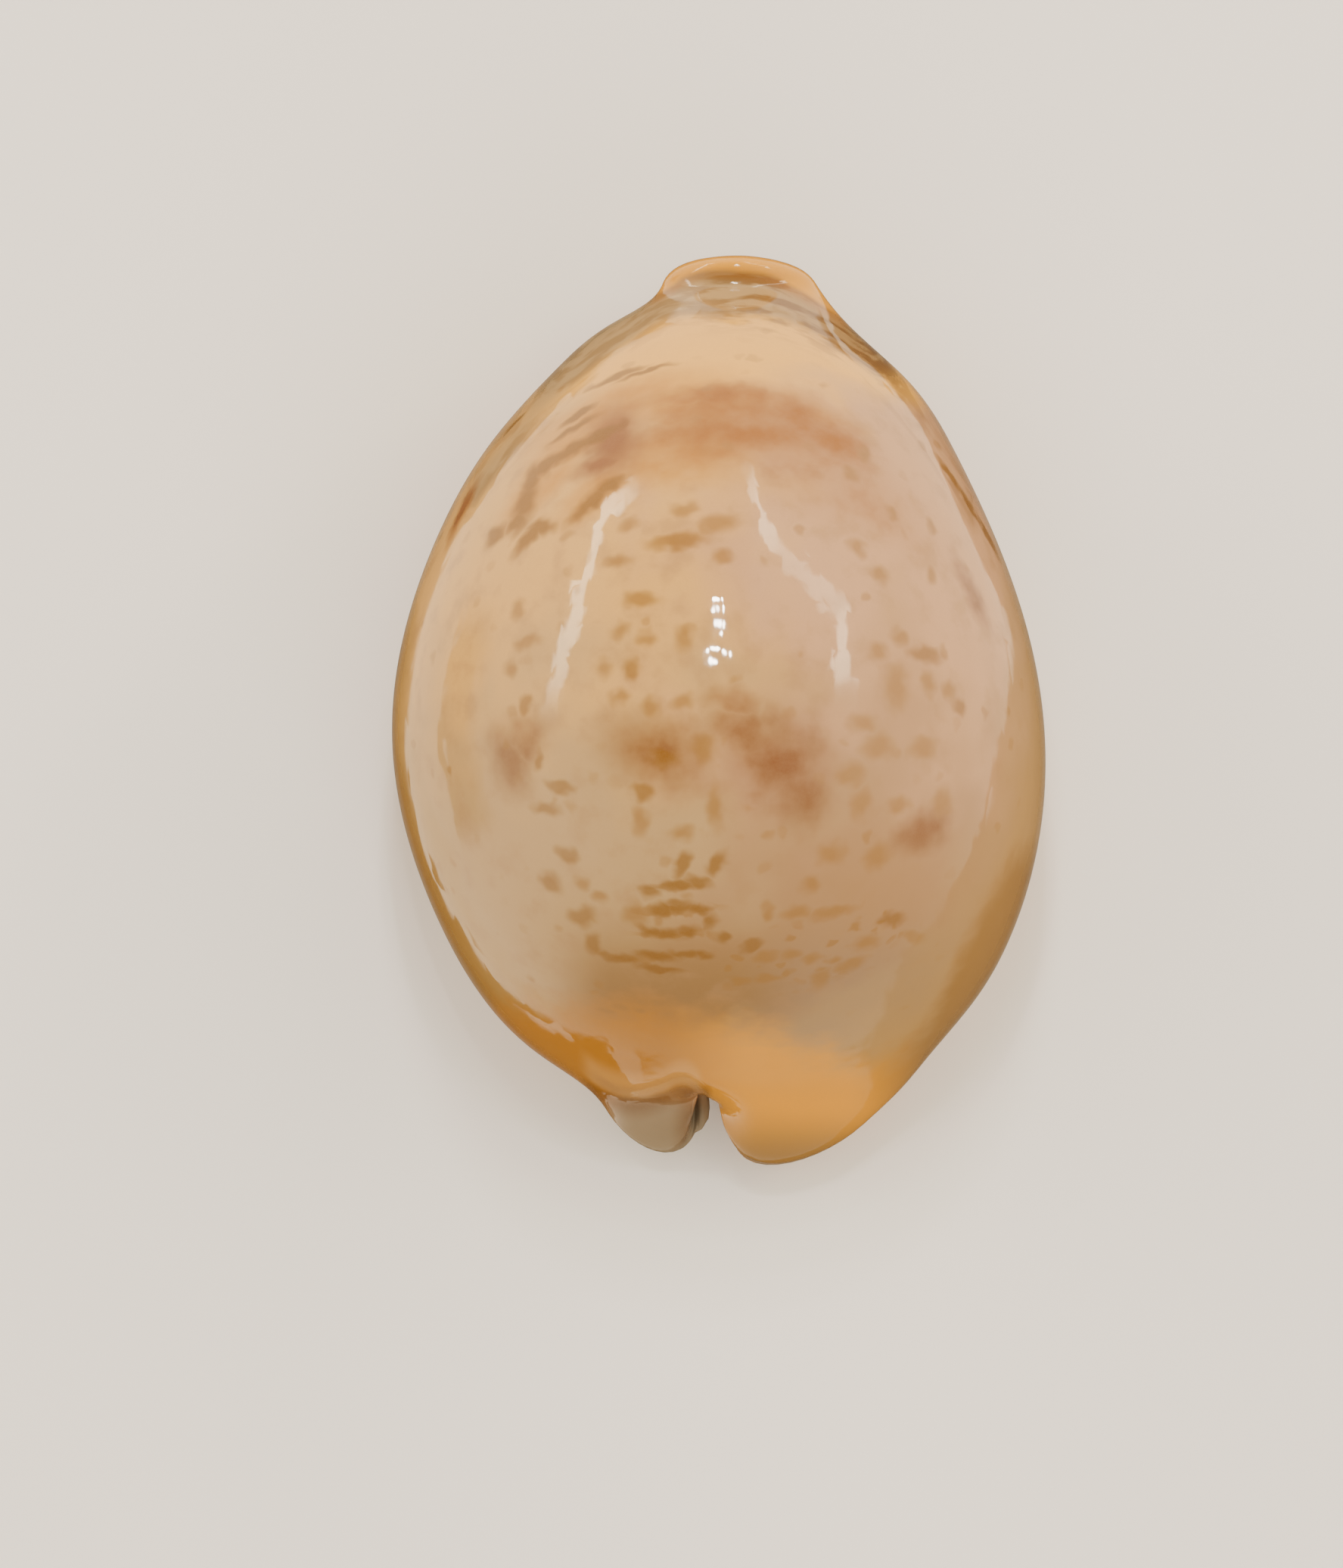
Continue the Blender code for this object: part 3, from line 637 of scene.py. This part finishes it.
def edge_places(ways, alongs):
    """way and along of every point once round the edge: inner lip, front, outer lip, back."""
    way = np.concatenate(
        [np.full(len(alongs) - 1, -1.0), ways[:-1], np.full(len(alongs) - 1, 1.0), ways[:0:-1]]
    )
    along = np.concatenate(
        [alongs[:-1], np.ones(len(ways) - 1), alongs[:0:-1], np.zeros(len(ways) - 1)]
    )
    return way, along


def edge_cells(columns, stations):
    """(column, station) of every point once round the edge, in the same order."""
    up = [(0, k) for k in range(stations)]
    across = [(k, stations) for k in range(columns)]
    down = [(columns, k) for k in range(stations, 0, -1)]
    back = [(k, 0) for k in range(columns, 0, -1)]
    return up + across + down + back


def fit_to_size(points):
    """The points scaled to the size of the whole shell, standing on z = 0 round the origin."""
    low, high = points.min(axis=0), points.max(axis=0)
    low[2] += FLAT_DEPTH
    foot = np.array([(low[0] + high[0]) / 2, (low[1] + high[1]) / 2, low[2]])
    fitted = (points - foot) * np.array([WIDTH, LENGTH, HEIGHT]) / (high - low)
    fitted[:, 2] = np.maximum(fitted[:, 2], 0)
    return fitted


def painted_values(way, along, depth):
    """What the material reads at each place: the base, nearness to a lip, the grooves and the inside.

    depth goes from 0 on the outer face to 1 on the inner face.
    """
    start, full = UNDER_PAINT
    under = ease((np.abs(way) - start) / (full - start))
    fade = ease(np.minimum(along, 1 - along) / TOOTH_FADE)
    outside = 1 - ease(2 * depth - 1)
    near_lip = fade * ease((np.abs(way) - LIP_PAINT) / (1 - LIP_PAINT)) * outside
    groove = fade - tooth(way, along) / TOOTH_HEIGHT
    on_teeth = ease(1 - (1 - np.abs(way)) / GROOVE_REACH) * outside
    start, full = INSIDE_PAINT
    inside = np.full_like(near_lip, ease((depth - start) / (full - start)))
    return np.stack([under, near_lip, groove * on_teeth, inside], axis=-1)


def sheet_points():
    """All points of the shell, what its material reads there, and the numbers that lead into them."""
    ways = steps_round(COLUMNS)
    alongs = np.linspace(0, 1, STATIONS + 1)
    way, along = np.meshgrid(ways, alongs, indexing="ij")
    outer = outer_face(way, along)
    outer[..., 2] -= below_ledge(outer)
    outer[..., 2] -= tooth(way, along) * ease(1 - (1 - np.abs(way)) / TOOTH_REACH)
    inner_way, inner_along = np.meshgrid(ways[::2], alongs[::2], indexing="ij")
    inner = inner_face(inner_way, inner_along)
    edge_way, edge_along = edge_places(ways, alongs)
    rings = edge_rings(edge_way, edge_along)[1:-1]
    points = np.concatenate([outer.reshape(-1, 3), inner.reshape(-1, 3), *rings])
    depths = np.linspace(0, 1, EDGE_ROWS + 1)[1:-1]
    painted = np.concatenate(
        [
            painted_values(way, along, 0.0).reshape(-1, 4),
            painted_values(inner_way, inner_along, 1.0).reshape(-1, 4),
            *[painted_values(edge_way, edge_along, depth) for depth in depths],
        ]
    )
    numbers = np.arange(len(points))
    outer_size, inner_size, ring_size = way.size, inner_way.size, len(rings[0])
    outer_grid = numbers[:outer_size].reshape(way.shape)
    inner_grid = numbers[outer_size : outer_size + inner_size].reshape(inner_way.shape)
    between = numbers[outer_size + inner_size :].reshape(-1, ring_size)
    first = [outer_grid[cell] for cell in edge_cells(COLUMNS, STATIONS)]
    last = [inner_grid[cell] for cell in edge_cells(COLUMNS // 2, STATIONS // 2)]
    return fit_to_size(points), painted, outer_grid, inner_grid, [first, *between], last


def shell_faces(outer_grid, inner_grid, rings, last):
    """Faces of both grids, of the edge between them and of its join to the inner grid."""
    faces = []
    for grid, turn in ((outer_grid, 1), (inner_grid, -1)):
        for a, b in zip(grid[:-1], grid[1:]):
            faces += [(a[k], a[k + 1], b[k + 1], b[k])[::turn] for k in range(len(a) - 1)]
    for near, far in zip(rings[:-1], rings[1:]):
        faces += [(near[k - 1], far[k - 1], far[k], near[k]) for k in range(len(near))]
    near = rings[-1]
    for k in range(len(last)):
        a, b, c = near[2 * k - 2], near[2 * k - 1], near[2 * k]
        faces += [(a, last[k - 1], b), (b, last[k - 1], last[k]), (b, last[k], c)]
    return faces


def shell_mesh():
    """The mesh of the sheet, and what its material reads at each of its points."""
    points, painted, *numbers = sheet_points()
    mesh = bpy.data.meshes.new("cowry_shell")
    built = bmesh.new()
    corners = [built.verts.new(point * MM) for point in points]
    for face in shell_faces(*numbers):
        built.faces.new([corners[number] for number in face])
    bmesh.ops.recalc_face_normals(built, faces=built.faces)
    built.to_mesh(mesh)
    built.free()
    mesh.shade_smooth()
    return mesh, dict(zip(PAINTED, painted.T))


class Graph:
    """Adds nodes to a node tree. Each method gives the output of the node that it adds."""

    def __init__(self, tree):
        self.tree = tree

    def put(self, socket, value):
        if isinstance(value, bpy.types.NodeSocket):
            self.tree.links.new(value, socket)
        else:
            socket.default_value = value

    def add(self, kind, *inputs, **settings):
        """The node itself, with its first inputs filled."""
        node = self.tree.nodes.new("ShaderNode" + kind)
        for name, value in settings.items():
            setattr(node, name, value)
        for socket, value in zip(node.inputs, inputs):
            self.put(socket, value)
        return node

    def math(self, operation, *values):
        return self.add("Math", *values, operation=operation).outputs[0]

    def vector(self, operation, *values):
        node = self.add("VectorMath", *values, operation=operation)
        return node.outputs["Value" if operation == "DOT_PRODUCT" else "Vector"]

    def times(self, *values):
        product = values[0]
        for value in values[1:]:
            product = self.math("MULTIPLY", product, value)
        return product

    def rise(self, value, low, high):
        """A smooth step from 0 at low to 1 at high. low may be the larger one."""
        return self.add("MapRange", value, low, high, interpolation_type="SMOOTHSTEP").outputs[0]

    def rescale(self, value, low, high, new_low, new_high):
        return self.add("MapRange", value, low, high, new_low, new_high).outputs[0]

    def between(self, share, first, second):
        """From first, where the share is 0, to second, where it is 1."""
        return self.rescale(share, 0.0, 1.0, first, second)

    def spread(self, noise, least, most):
        """A noise that goes from least to most."""
        return self.rescale(noise, *NOISE_RANGE, least, most)

    def mix(self, share, first, second, kind="RGBA"):
        node = self.add("Mix", share, data_type=kind)
        first_input, second_input, output = MIX_SOCKETS[kind]
        self.put(node.inputs[first_input], first)
        self.put(node.inputs[second_input], second)
        return node.outputs[output]

    def paint(self, tint, seen, *shares):
        """The tint with a colour over it, which covers as much as the product of the shares."""
        return self.mix(self.times(*shares), tint, colour(seen))

    def noise(self, place, scale, detail, output="Fac"):
        node = self.add("TexNoise")
        self.put(node.inputs["Vector"], place)
        node.inputs["Scale"].default_value = scale
        node.inputs["Detail"].default_value = detail
        return node.outputs[output]

    def cells(self, place, scale):
        """The distance to the middle of the nearest cell, and a random colour for each cell."""
        node = self.add("TexVoronoi")
        self.put(node.inputs["Vector"], place)
        node.inputs["Scale"].default_value = scale
        return node.outputs["Distance"], node.outputs["Color"]

    def painted(self, name):
        """A value that the mesh holds for each of its points."""
        return self.add("Attribute", attribute_name=name).outputs["Fac"]

    def curve(self, value, points):
        """The value's result on a smooth line through points of (value, result)."""
        at, result = zip(*points)
        low, high = min(result), max(result)
        share = self.rescale(value, at[0], at[-1], 0.0, 1.0)
        node = self.add("FloatCurve", 1.0, share)
        line_points = node.mapping.curves[0].points
        line_points[0].location = (0.0, (result[0] - low) / (high - low))
        line_points[-1].location = (1.0, (result[-1] - low) / (high - low))
        for a, r in points[1:-1]:
            line_points.new((a - at[0]) / (at[-1] - at[0]), (r - low) / (high - low))
        node.mapping.update()
        return self.between(node.outputs[0], low, high)

    def past(self, line_points, along, measured):
        """How much more is measured than the line has at this place along it."""
        return self.math("SUBTRACT", measured, self.curve(along, line_points))


def colour(seen):
    """A colour given as the eye sees it, as the shader wants it."""
    shares = [value / 255 for value in seen]
    return (*[s / 12.92 if s < 0.04045 else ((s + 0.055) / 1.055) ** 2.4 for s in shares], 1.0)


def within(graph, at, area):
    """How far each place lies inside each edge of an area. The product of these is the area."""
    return [graph.rise(at[measure], start, full) for measure, start, full in area]


def marks(graph, place, shell, spots, softness):
    """How much each place is marked by any of the spots, ellipsoids round points of the surface.

    Each spot is joined to the ones before it at once, because the renderer can hold only a few values
    that still wait for their use.
    """
    nearest = None
    for x, y, length, width, *turn in spots:
        _, point, normal, _ = shell.ray_cast((x * MM, y * MM, RAY_START), (0, 0, -1))
        angle = math.radians(turn[0]) if turn else 0.0
        along = Vector((math.cos(angle), math.sin(angle), 0))
        along = (along - along.dot(normal) * normal).normalized()
        axes = Matrix((along, normal.cross(along), normal)).transposed()
        node = graph.add("Mapping", place, vector_type="TEXTURE")
        node.inputs["Location"].default_value = point / MM
        node.inputs["Rotation"].default_value = axes.to_euler()
        sizes = Vector((length, width, max(length, width)))
        node.inputs["Scale"].default_value = sizes / 2 * SPOT_SWELL * SPOT_REACH
        ball = graph.add("TexGradient", node.outputs[0], gradient_type="SPHERICAL").outputs["Fac"]
        nearest = ball if nearest is None else graph.math("MAXIMUM", nearest, ball)
    return graph.rise(nearest, 1 - (1 + softness) / SPOT_REACH, 1 - (1 - softness) / SPOT_REACH)


def shell_material(shell):
    material = bpy.data.materials.new("glossy shell")
    material.use_nodes = True
    graph = Graph(material.node_tree)
    surface = material.node_tree.nodes["Principled BSDF"]
    at = measures(graph)
    tint = colours_of_back(graph, at)
    tint = markings(graph, shell, tint, at)
    tint = neck_lines(graph, tint, at)
    tint = callus(graph, shell, tint, at)
    tint = colours_of_mouth(graph, tint, at)
    grain = graph.noise(at["place"], *GRAIN_NOISE)
    tint = graph.paint(tint, CLOUD, graph.spread(grain, 0.0, GRAIN_STRENGTH))
    graph.put(surface.inputs["Base Color"], tint)
    graph.put(surface.inputs["Roughness"], graph.spread(at["middling"], *ROUGHNESS))
    surface.inputs["IOR"].default_value = IOR
    graph.put(surface.inputs["Normal"], ripples(graph, at["place"]))
    return material


def measures(graph):
    """What the colours depend on: the place in mm, noises, and how far it is past the neck's edge."""
    metres = graph.add("TexCoord").outputs["Object"]
    place = graph.vector("SCALE", metres)
    place.node.inputs["Scale"].default_value = 1 / MM
    x, y, z = graph.add("SeparateXYZ", place).outputs
    wobble = graph.vector("SUBTRACT", graph.noise(place, *RAGGED_NOISE, "Color"), (0.5, 0.5, 0.5))
    ragged = graph.vector("ADD", place, wobble)
    broad = graph.noise(place, *BROAD_NOISE)
    middling = graph.noise(place, *MIDDLING_NOISE)
    past_neck = graph.past(NECK_EDGE, x, y)
    flank = graph.rise(graph.math("ABSOLUTE", x), *FLANK_X)
    shift = graph.times(flank, graph.rescale(z, *FLANK_Z, 0.0, FLANK_SHIFT))
    past_neck = graph.math("SUBTRACT", past_neck, shift)
    return {
        "place": place, "ragged": ragged, "x": x, "y": y, "z": z,
        "broad": broad, "middling": middling, "past_neck": past_neck,
    }


def ripples(graph, place):
    """The direction of the surface, with the long faint ripples that show in its gloss."""
    stretched = graph.add("Mapping", place)
    stretched.inputs["Scale"].default_value = RIPPLES
    height = graph.noise(stretched.outputs[0], 1.0, RIPPLE_DETAIL)
    fine = graph.noise(place, *FINE_NOISE)
    height = graph.math("ADD", height, graph.times(fine, FINE_SHARE))
    bump = graph.add("Bump")
    bump.inputs["Distance"].default_value = RIPPLE_HEIGHT * MM
    graph.put(bump.inputs["Height"], height)
    return bump.outputs[0]


def colours_of_back(graph, at):
    """The ground colour of the domed back, from the dusky neck to the callus, with painted shade on
    its low part.
    """
    x, y = at["x"], at["y"]
    drift = graph.spread(at["broad"], -BACK_DRIFT, BACK_DRIFT)
    right = graph.rise(graph.math("ADD", x, drift), *BACK_TO_RIGHT)
    fore = graph.mix(right, colour(CREAM), colour(PINKISH))
    rear = graph.mix(right, colour(PALE_BACK), colour(PINKISH_BACK))
    forward = graph.math("ADD", y, drift)
    tint = graph.mix(graph.rise(forward, *BACK_TO_FRONT), rear, fore)
    # Painted shade: the low part of the back is darker, where less light falls
    low = graph.mix(graph.rise(x, *SHADED_LOW_BACK_TO_RIGHT), colour(SHADED_LOW_BACK), colour(SHADED_LOW_BACK_RIGHT))
    tint = graph.mix(graph.times(*within(graph, at, SHADED_LOW_BACK_AREA)), tint, low)
    tint = graph.paint(tint, CLOUD, *within(graph, at, CLOUDS), CLOUD_STRENGTH)
    ahead = graph.math("ADD", y, graph.spread(at["broad"], -FRONT_DRIFT, FRONT_DRIFT))
    tint = graph.paint(tint, FRONT_CREAM, graph.rise(ahead, *TO_FRONT_CREAM))
    on_neck = graph.times(*within(graph, at, NECK_AREA))
    neck = graph.mix(graph.rise(x, *NECK_TO_RIGHT), colour(NECK), colour(NECK_RIGHT))
    return graph.mix(on_neck, tint, neck)


def markings(graph, shell, tint, at):
    """The bands, blotches, streaks and spots of the back."""
    ragged = at["ragged"]
    back = within(graph, at, FRECKLED_BACK)
    uneven = graph.spread(at["middling"], *UNEVEN_STRENGTH)
    tint = lay_marks(graph, shell, tint, ragged, uneven, LOWER_MARKS)
    freckles = fine_spots(graph, ragged, *FRECKLES)
    tint = graph.paint(tint, FAINT_OCHRE, freckles, *back, FRECKLE_STRENGTH)
    specks = fine_spots(graph, ragged, *SPECKS)
    speckled = marks(graph, ragged, shell, SPECKLED_GROUND, GROUND_SOFTNESS)
    tint = graph.paint(tint, FAINT_OCHRE, specks, speckled, SPECK_STRENGTH)
    waves = wavy_lines(graph, at["y"], at["middling"])
    wavy = marks(graph, ragged, shell, WAVY_GROUND, GROUND_SOFTNESS)
    tint = graph.paint(tint, FAINT_OCHRE, waves, wavy, WAVE_STRENGTH)
    return lay_marks(graph, shell, tint, ragged, uneven, UPPER_MARKS)


def lay_marks(graph, shell, tint, place, uneven, layers):
    for spots, softness, strength, is_uneven, seen in layers:
        shares = [marks(graph, place, shell, spots, softness), strength]
        if is_uneven:
            shares.append(uneven)
        tint = graph.paint(tint, seen, *shares)
    return tint


def fine_spots(graph, place, scale, edge, chosen):
    """Round spots in cells of one size, where only the chosen cells have one."""
    distance, drawn = graph.cells(place, scale)
    return graph.times(graph.rise(distance, *edge), graph.rise(drawn, *chosen))


def wavy_lines(graph, y, noise):
    """Wavy lines that run along x and break off here and there."""
    turn = graph.times(graph.math("SUBTRACT", y, FIRST_WAVE), 2 * math.pi / WAVE_SPACING)
    turn = graph.math("ADD", turn, graph.spread(noise, -WAVE_BEND, WAVE_BEND))
    wave = graph.rise(graph.math("COSINE", turn), *WAVE_EDGE)
    return graph.times(wave, graph.rise(noise, *WAVE_BREAKS))


def neck_lines(graph, tint, at):
    """The brown lines round the neck, along the edge of the pale front of the back."""
    measured = zip((at["x"], at["past_neck"], at["z"]), NECK_LINE_WAVES)
    place = graph.add("CombineXYZ", *[graph.times(value, waves) for value, waves in measured])
    lines = graph.noise(place.outputs[0], 1.0, NECK_LINE_DETAIL)
    on_neck = within(graph, {**at, "lines": lines}, NECK_LINES)
    strength = graph.between(graph.rise(at["x"], *NECK_LINES_TO_RIGHT), *NECK_LINE_STRENGTH)
    return graph.paint(tint, NECK_STREAK, *on_neck, strength)


def callus(graph, shell, tint, at):
    """The callus of the sides and both ends, which lies over the markings of the back, with a painted
    highlight along the ledge and painted shade below it, in the notch and in the groove behind the
    flange.
    """
    x, y = at["x"], at["y"]
    height = graph.math("ADD", at["z"], graph.spread(at["broad"], -SIDE_DRIFT, SIDE_DRIFT))
    left = graph.past(LEFT_CALLUS, y, height)
    right = graph.past(RIGHT_CALLUS, y, height)
    to_right = graph.rise(x, *SIDE_TO_RIGHT)
    above = graph.mix(to_right, left, right, "FLOAT")
    behind = graph.math("SUBTRACT", graph.curve(x, BACK_CALLUS), y)
    behind = graph.math("ADD", behind, graph.spread(at["middling"], -CALLUS_DRIFT, CALLUS_DRIFT))
    past_ledge = graph.math("SUBTRACT", graph.curve(x, LEDGE), y)
    past_flange = graph.past(FLANGE_EDGE, x, y)
    at = {
        **at, "above_callus": above, "past_callus": behind, "past_ledge": past_ledge,
        "past_flange": past_flange,
    }

    pale = graph.mix(to_right, colour(SIDE_PALE_LEFT), colour(SIDE_PALE_RIGHT))
    on_pale = graph.times(*within(graph, at, SIDE_PALE_AREA), SIDE_PALE_STRENGTH)
    tint = graph.mix(on_pale, tint, pale)
    side = graph.mix(to_right, colour(LEFT_SIDE), colour(RIGHT_SIDE))
    tint = graph.mix(graph.times(*within(graph, at, SIDE_AREA)), tint, side)
    lobes = graph.mix(graph.rise(x, *CALLUS_TO_RIGHT), colour(CALLUS_LEFT), colour(CALLUS_RIGHT))
    lobes = graph.paint(lobes, CALLUS_FAR_RIGHT, graph.rise(x, *CALLUS_TO_FAR_RIGHT))
    lobes = graph.paint(lobes, CALLUS_TIP, graph.rise(y, *CALLUS_TO_TIP))
    tint = graph.mix(graph.times(*within(graph, at, CALLUS_AREA)), tint, lobes)
    specks = marks(graph, at["place"], shell, CALLUS_SPECKS, CALLUS_SPECK_SOFTNESS)
    tint = graph.paint(tint, FAINT_OCHRE, specks, CALLUS_SPECK_STRENGTH)
    # Among these are a painted highlight along the ledge, and painted shade below it, in the notch
    # and in the groove behind the flange
    for seen, strength, area in END_COLOURS:
        tint = graph.paint(tint, seen, *within(graph, at, area), strength)
    return tint


def colours_of_mouth(graph, tint, at):
    """The base, the teeth with the grooves between them, and the hollow."""
    ahead = within(graph, at, AHEAD_OF_BACK_END)
    on_left_lobe = graph.times(*within(graph, at, LEFT_LOBE_BELOW))
    ground = graph.mix(on_left_lobe, colour(BASE), colour(LOBE_GREY))
    uneven = graph.spread(at["broad"], *UNEVEN_STRENGTH)
    tint = graph.mix(graph.times(graph.painted("under"), uneven), tint, ground)
    tint = graph.paint(tint, TOOTH_PALE, graph.painted("near_lip"), TOOTH_STRENGTH, *ahead)
    tint = graph.paint(tint, GROOVE, graph.painted("groove"), GROOVE_STRENGTH)
    return graph.paint(tint, INSIDE, graph.painted("inside"), *ahead)


def shell_piece():
    """The fine sheet, with the values that its material reads at each point."""
    mesh, painted = shell_mesh()
    shell = bpy.data.objects.new("cowry_shell", mesh)
    bpy.context.scene.collection.objects.link(shell)
    for name, values in painted.items():
        attribute = mesh.attributes.new(name, "FLOAT", "POINT")
        attribute.data.foreach_set("value", values.astype(np.float32))
    bpy.context.view_layer.update()
    mesh.materials.append(shell_material(shell))
    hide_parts("shell")
    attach(shell, "root")


def floor():
    """A plain pale table top, which doesn't show in the gloss of the shell."""
    bpy.ops.mesh.primitive_plane_add(size=FLOOR_SIZE)
    plane = bpy.context.object
    plane.name = "floor"
    material = bpy.data.materials.new("floor")
    material.use_nodes = True
    surface = material.node_tree.nodes["Principled BSDF"]
    surface.inputs["Base Color"].default_value = colour(FLOOR)
    surface.inputs["Roughness"].default_value = FLOOR_ROUGHNESS
    plane.data.materials.append(material)
    plane.visible_glossy = False


def lamp(name, place, shape, size, power, in_reflections):
    """A light that faces the shell from a place given in metres."""
    light = bpy.data.lights.new(name, "AREA")
    light.shape = shape
    light.size = size
    light.energy = power
    light.color = LAMP_COLOUR
    held = bpy.data.objects.new(name, light)
    held.location = place
    held.rotation_euler = (-Vector(place)).to_track_quat("-Z", "Y").to_euler()
    held.visible_glossy = in_reflections
    bpy.context.scene.collection.objects.link(held)


def upper_light(graph, bearing, level):
    """Brightness of the walls, the bright strips along their top and the ceiling."""
    past_top = graph.past(WALL_TOP, bearing, level)
    drop = graph.times(graph.rise(past_top, *WALL_TOP_EDGE), WALL_LIGHT - CEILING_EDGE_LIGHT)
    fade = graph.times(graph.rise(past_top, *CEILING_FADE), CEILING_EDGE_LIGHT - CEILING_LIGHT)
    strip = graph.rise(graph.math("ABSOLUTE", past_top), RIM_HEIGHT, RIM_HEIGHT / 2)
    strip = graph.times(strip, graph.curve(bearing, RIM_GLOW), RIM_LIGHT)
    brightness = graph.math("SUBTRACT", graph.math("SUBTRACT", WALL_LIGHT, drop), fade)
    return graph.math("ADD", brightness, strip)


def shares_of_light(graph, direction, bearing, level):
    """How much of that light is left on the table, on the dim side and in the shaded stretch."""
    below_foot = graph.math("SUBTRACT", graph.curve(bearing, WALL_FOOT), level)
    on_table = graph.rise(below_foot, *WALL_FOOT_EDGE)
    on_dim_side = graph.rise(graph.vector("DOT_PRODUCT", direction, DIM_DIRECTION), *DIM_COSINE)
    in_gap = [graph.rise(bearing, *edge) for edge in GAP_BEARINGS]
    in_gap += [graph.rise(level, *edge) for edge in GAP_LEVELS]
    return (
        graph.between(on_table, 1.0, TABLE_LIGHT / WALL_LIGHT),
        graph.between(on_dim_side, 1.0, DIM_SHARE),
        graph.between(graph.times(*in_gap), 1.0, GAP_SHARE),
    )


def surroundings():
    """Pale walls with jagged ends, a darker ceiling above them and a dark table top below."""
    world = bpy.data.worlds.new("studio")
    bpy.context.scene.world = world
    world.use_nodes = True
    graph = Graph(world.node_tree)
    direction = graph.add("TexCoord").outputs["Generated"]
    across, forward, height = graph.add("SeparateXYZ", direction).outputs
    bearing = graph.math("ARCTAN2", across, forward)
    _, drawn = graph.cells(direction, JAGS)
    level = graph.math("ADD", height, graph.between(drawn, -WALL_JAG, WALL_JAG))
    brightness = upper_light(graph, bearing, level)
    dimming = graph.times(*shares_of_light(graph, direction, bearing, level))
    from_below = graph.times(graph.rise(height, *BELOW_LEVEL), BELOW_LIGHT)
    strength = graph.math("ADD", graph.times(brightness, dimming), from_below)
    background = world.node_tree.nodes["Background"]
    background.inputs["Color"].default_value = (*WALL_COLOUR, 1.0)
    graph.put(background.inputs["Strength"], strength)


def studio():
    surroundings()
    for number, (x, y) in enumerate(BULBS):
        across, forward = x * BULB_SPREAD, y * BULB_SPREAD
        place = (across, KEY_PLACE[0] + forward, KEY_PLACE[1] - forward * BULB_LEAN)
        lamp(f"bulb_{number}", place, "DISK", BULB_SIZE, BULB_POWER, True)
    for number, (place, power) in enumerate(SOFT_BOXES):
        lamp(f"soft_box_{number}", place, "SQUARE", SOFT_BOX_SIZE, power, False)


def camera():
    """Looks straight down. The shell is a little above and to the right of the picture's middle."""
    data = bpy.data.cameras.new("camera")
    data.sensor_width = SENSOR_WIDTH
    data.lens = SENSOR_WIDTH * CAMERA_HEIGHT / VIEW_LENGTH
    data.clip_start, data.clip_end = SEEN_DEPTH
    viewer = bpy.data.objects.new("camera", data)
    viewer.location = (VIEW_CENTRE[0] * MM, VIEW_CENTRE[1] * MM, (CAMERA_HEIGHT + OUTLINE_LEVEL) * MM)
    bpy.context.scene.collection.objects.link(viewer)
    bpy.context.scene.camera = viewer


shell_piece()
floor()
studio()
camera()
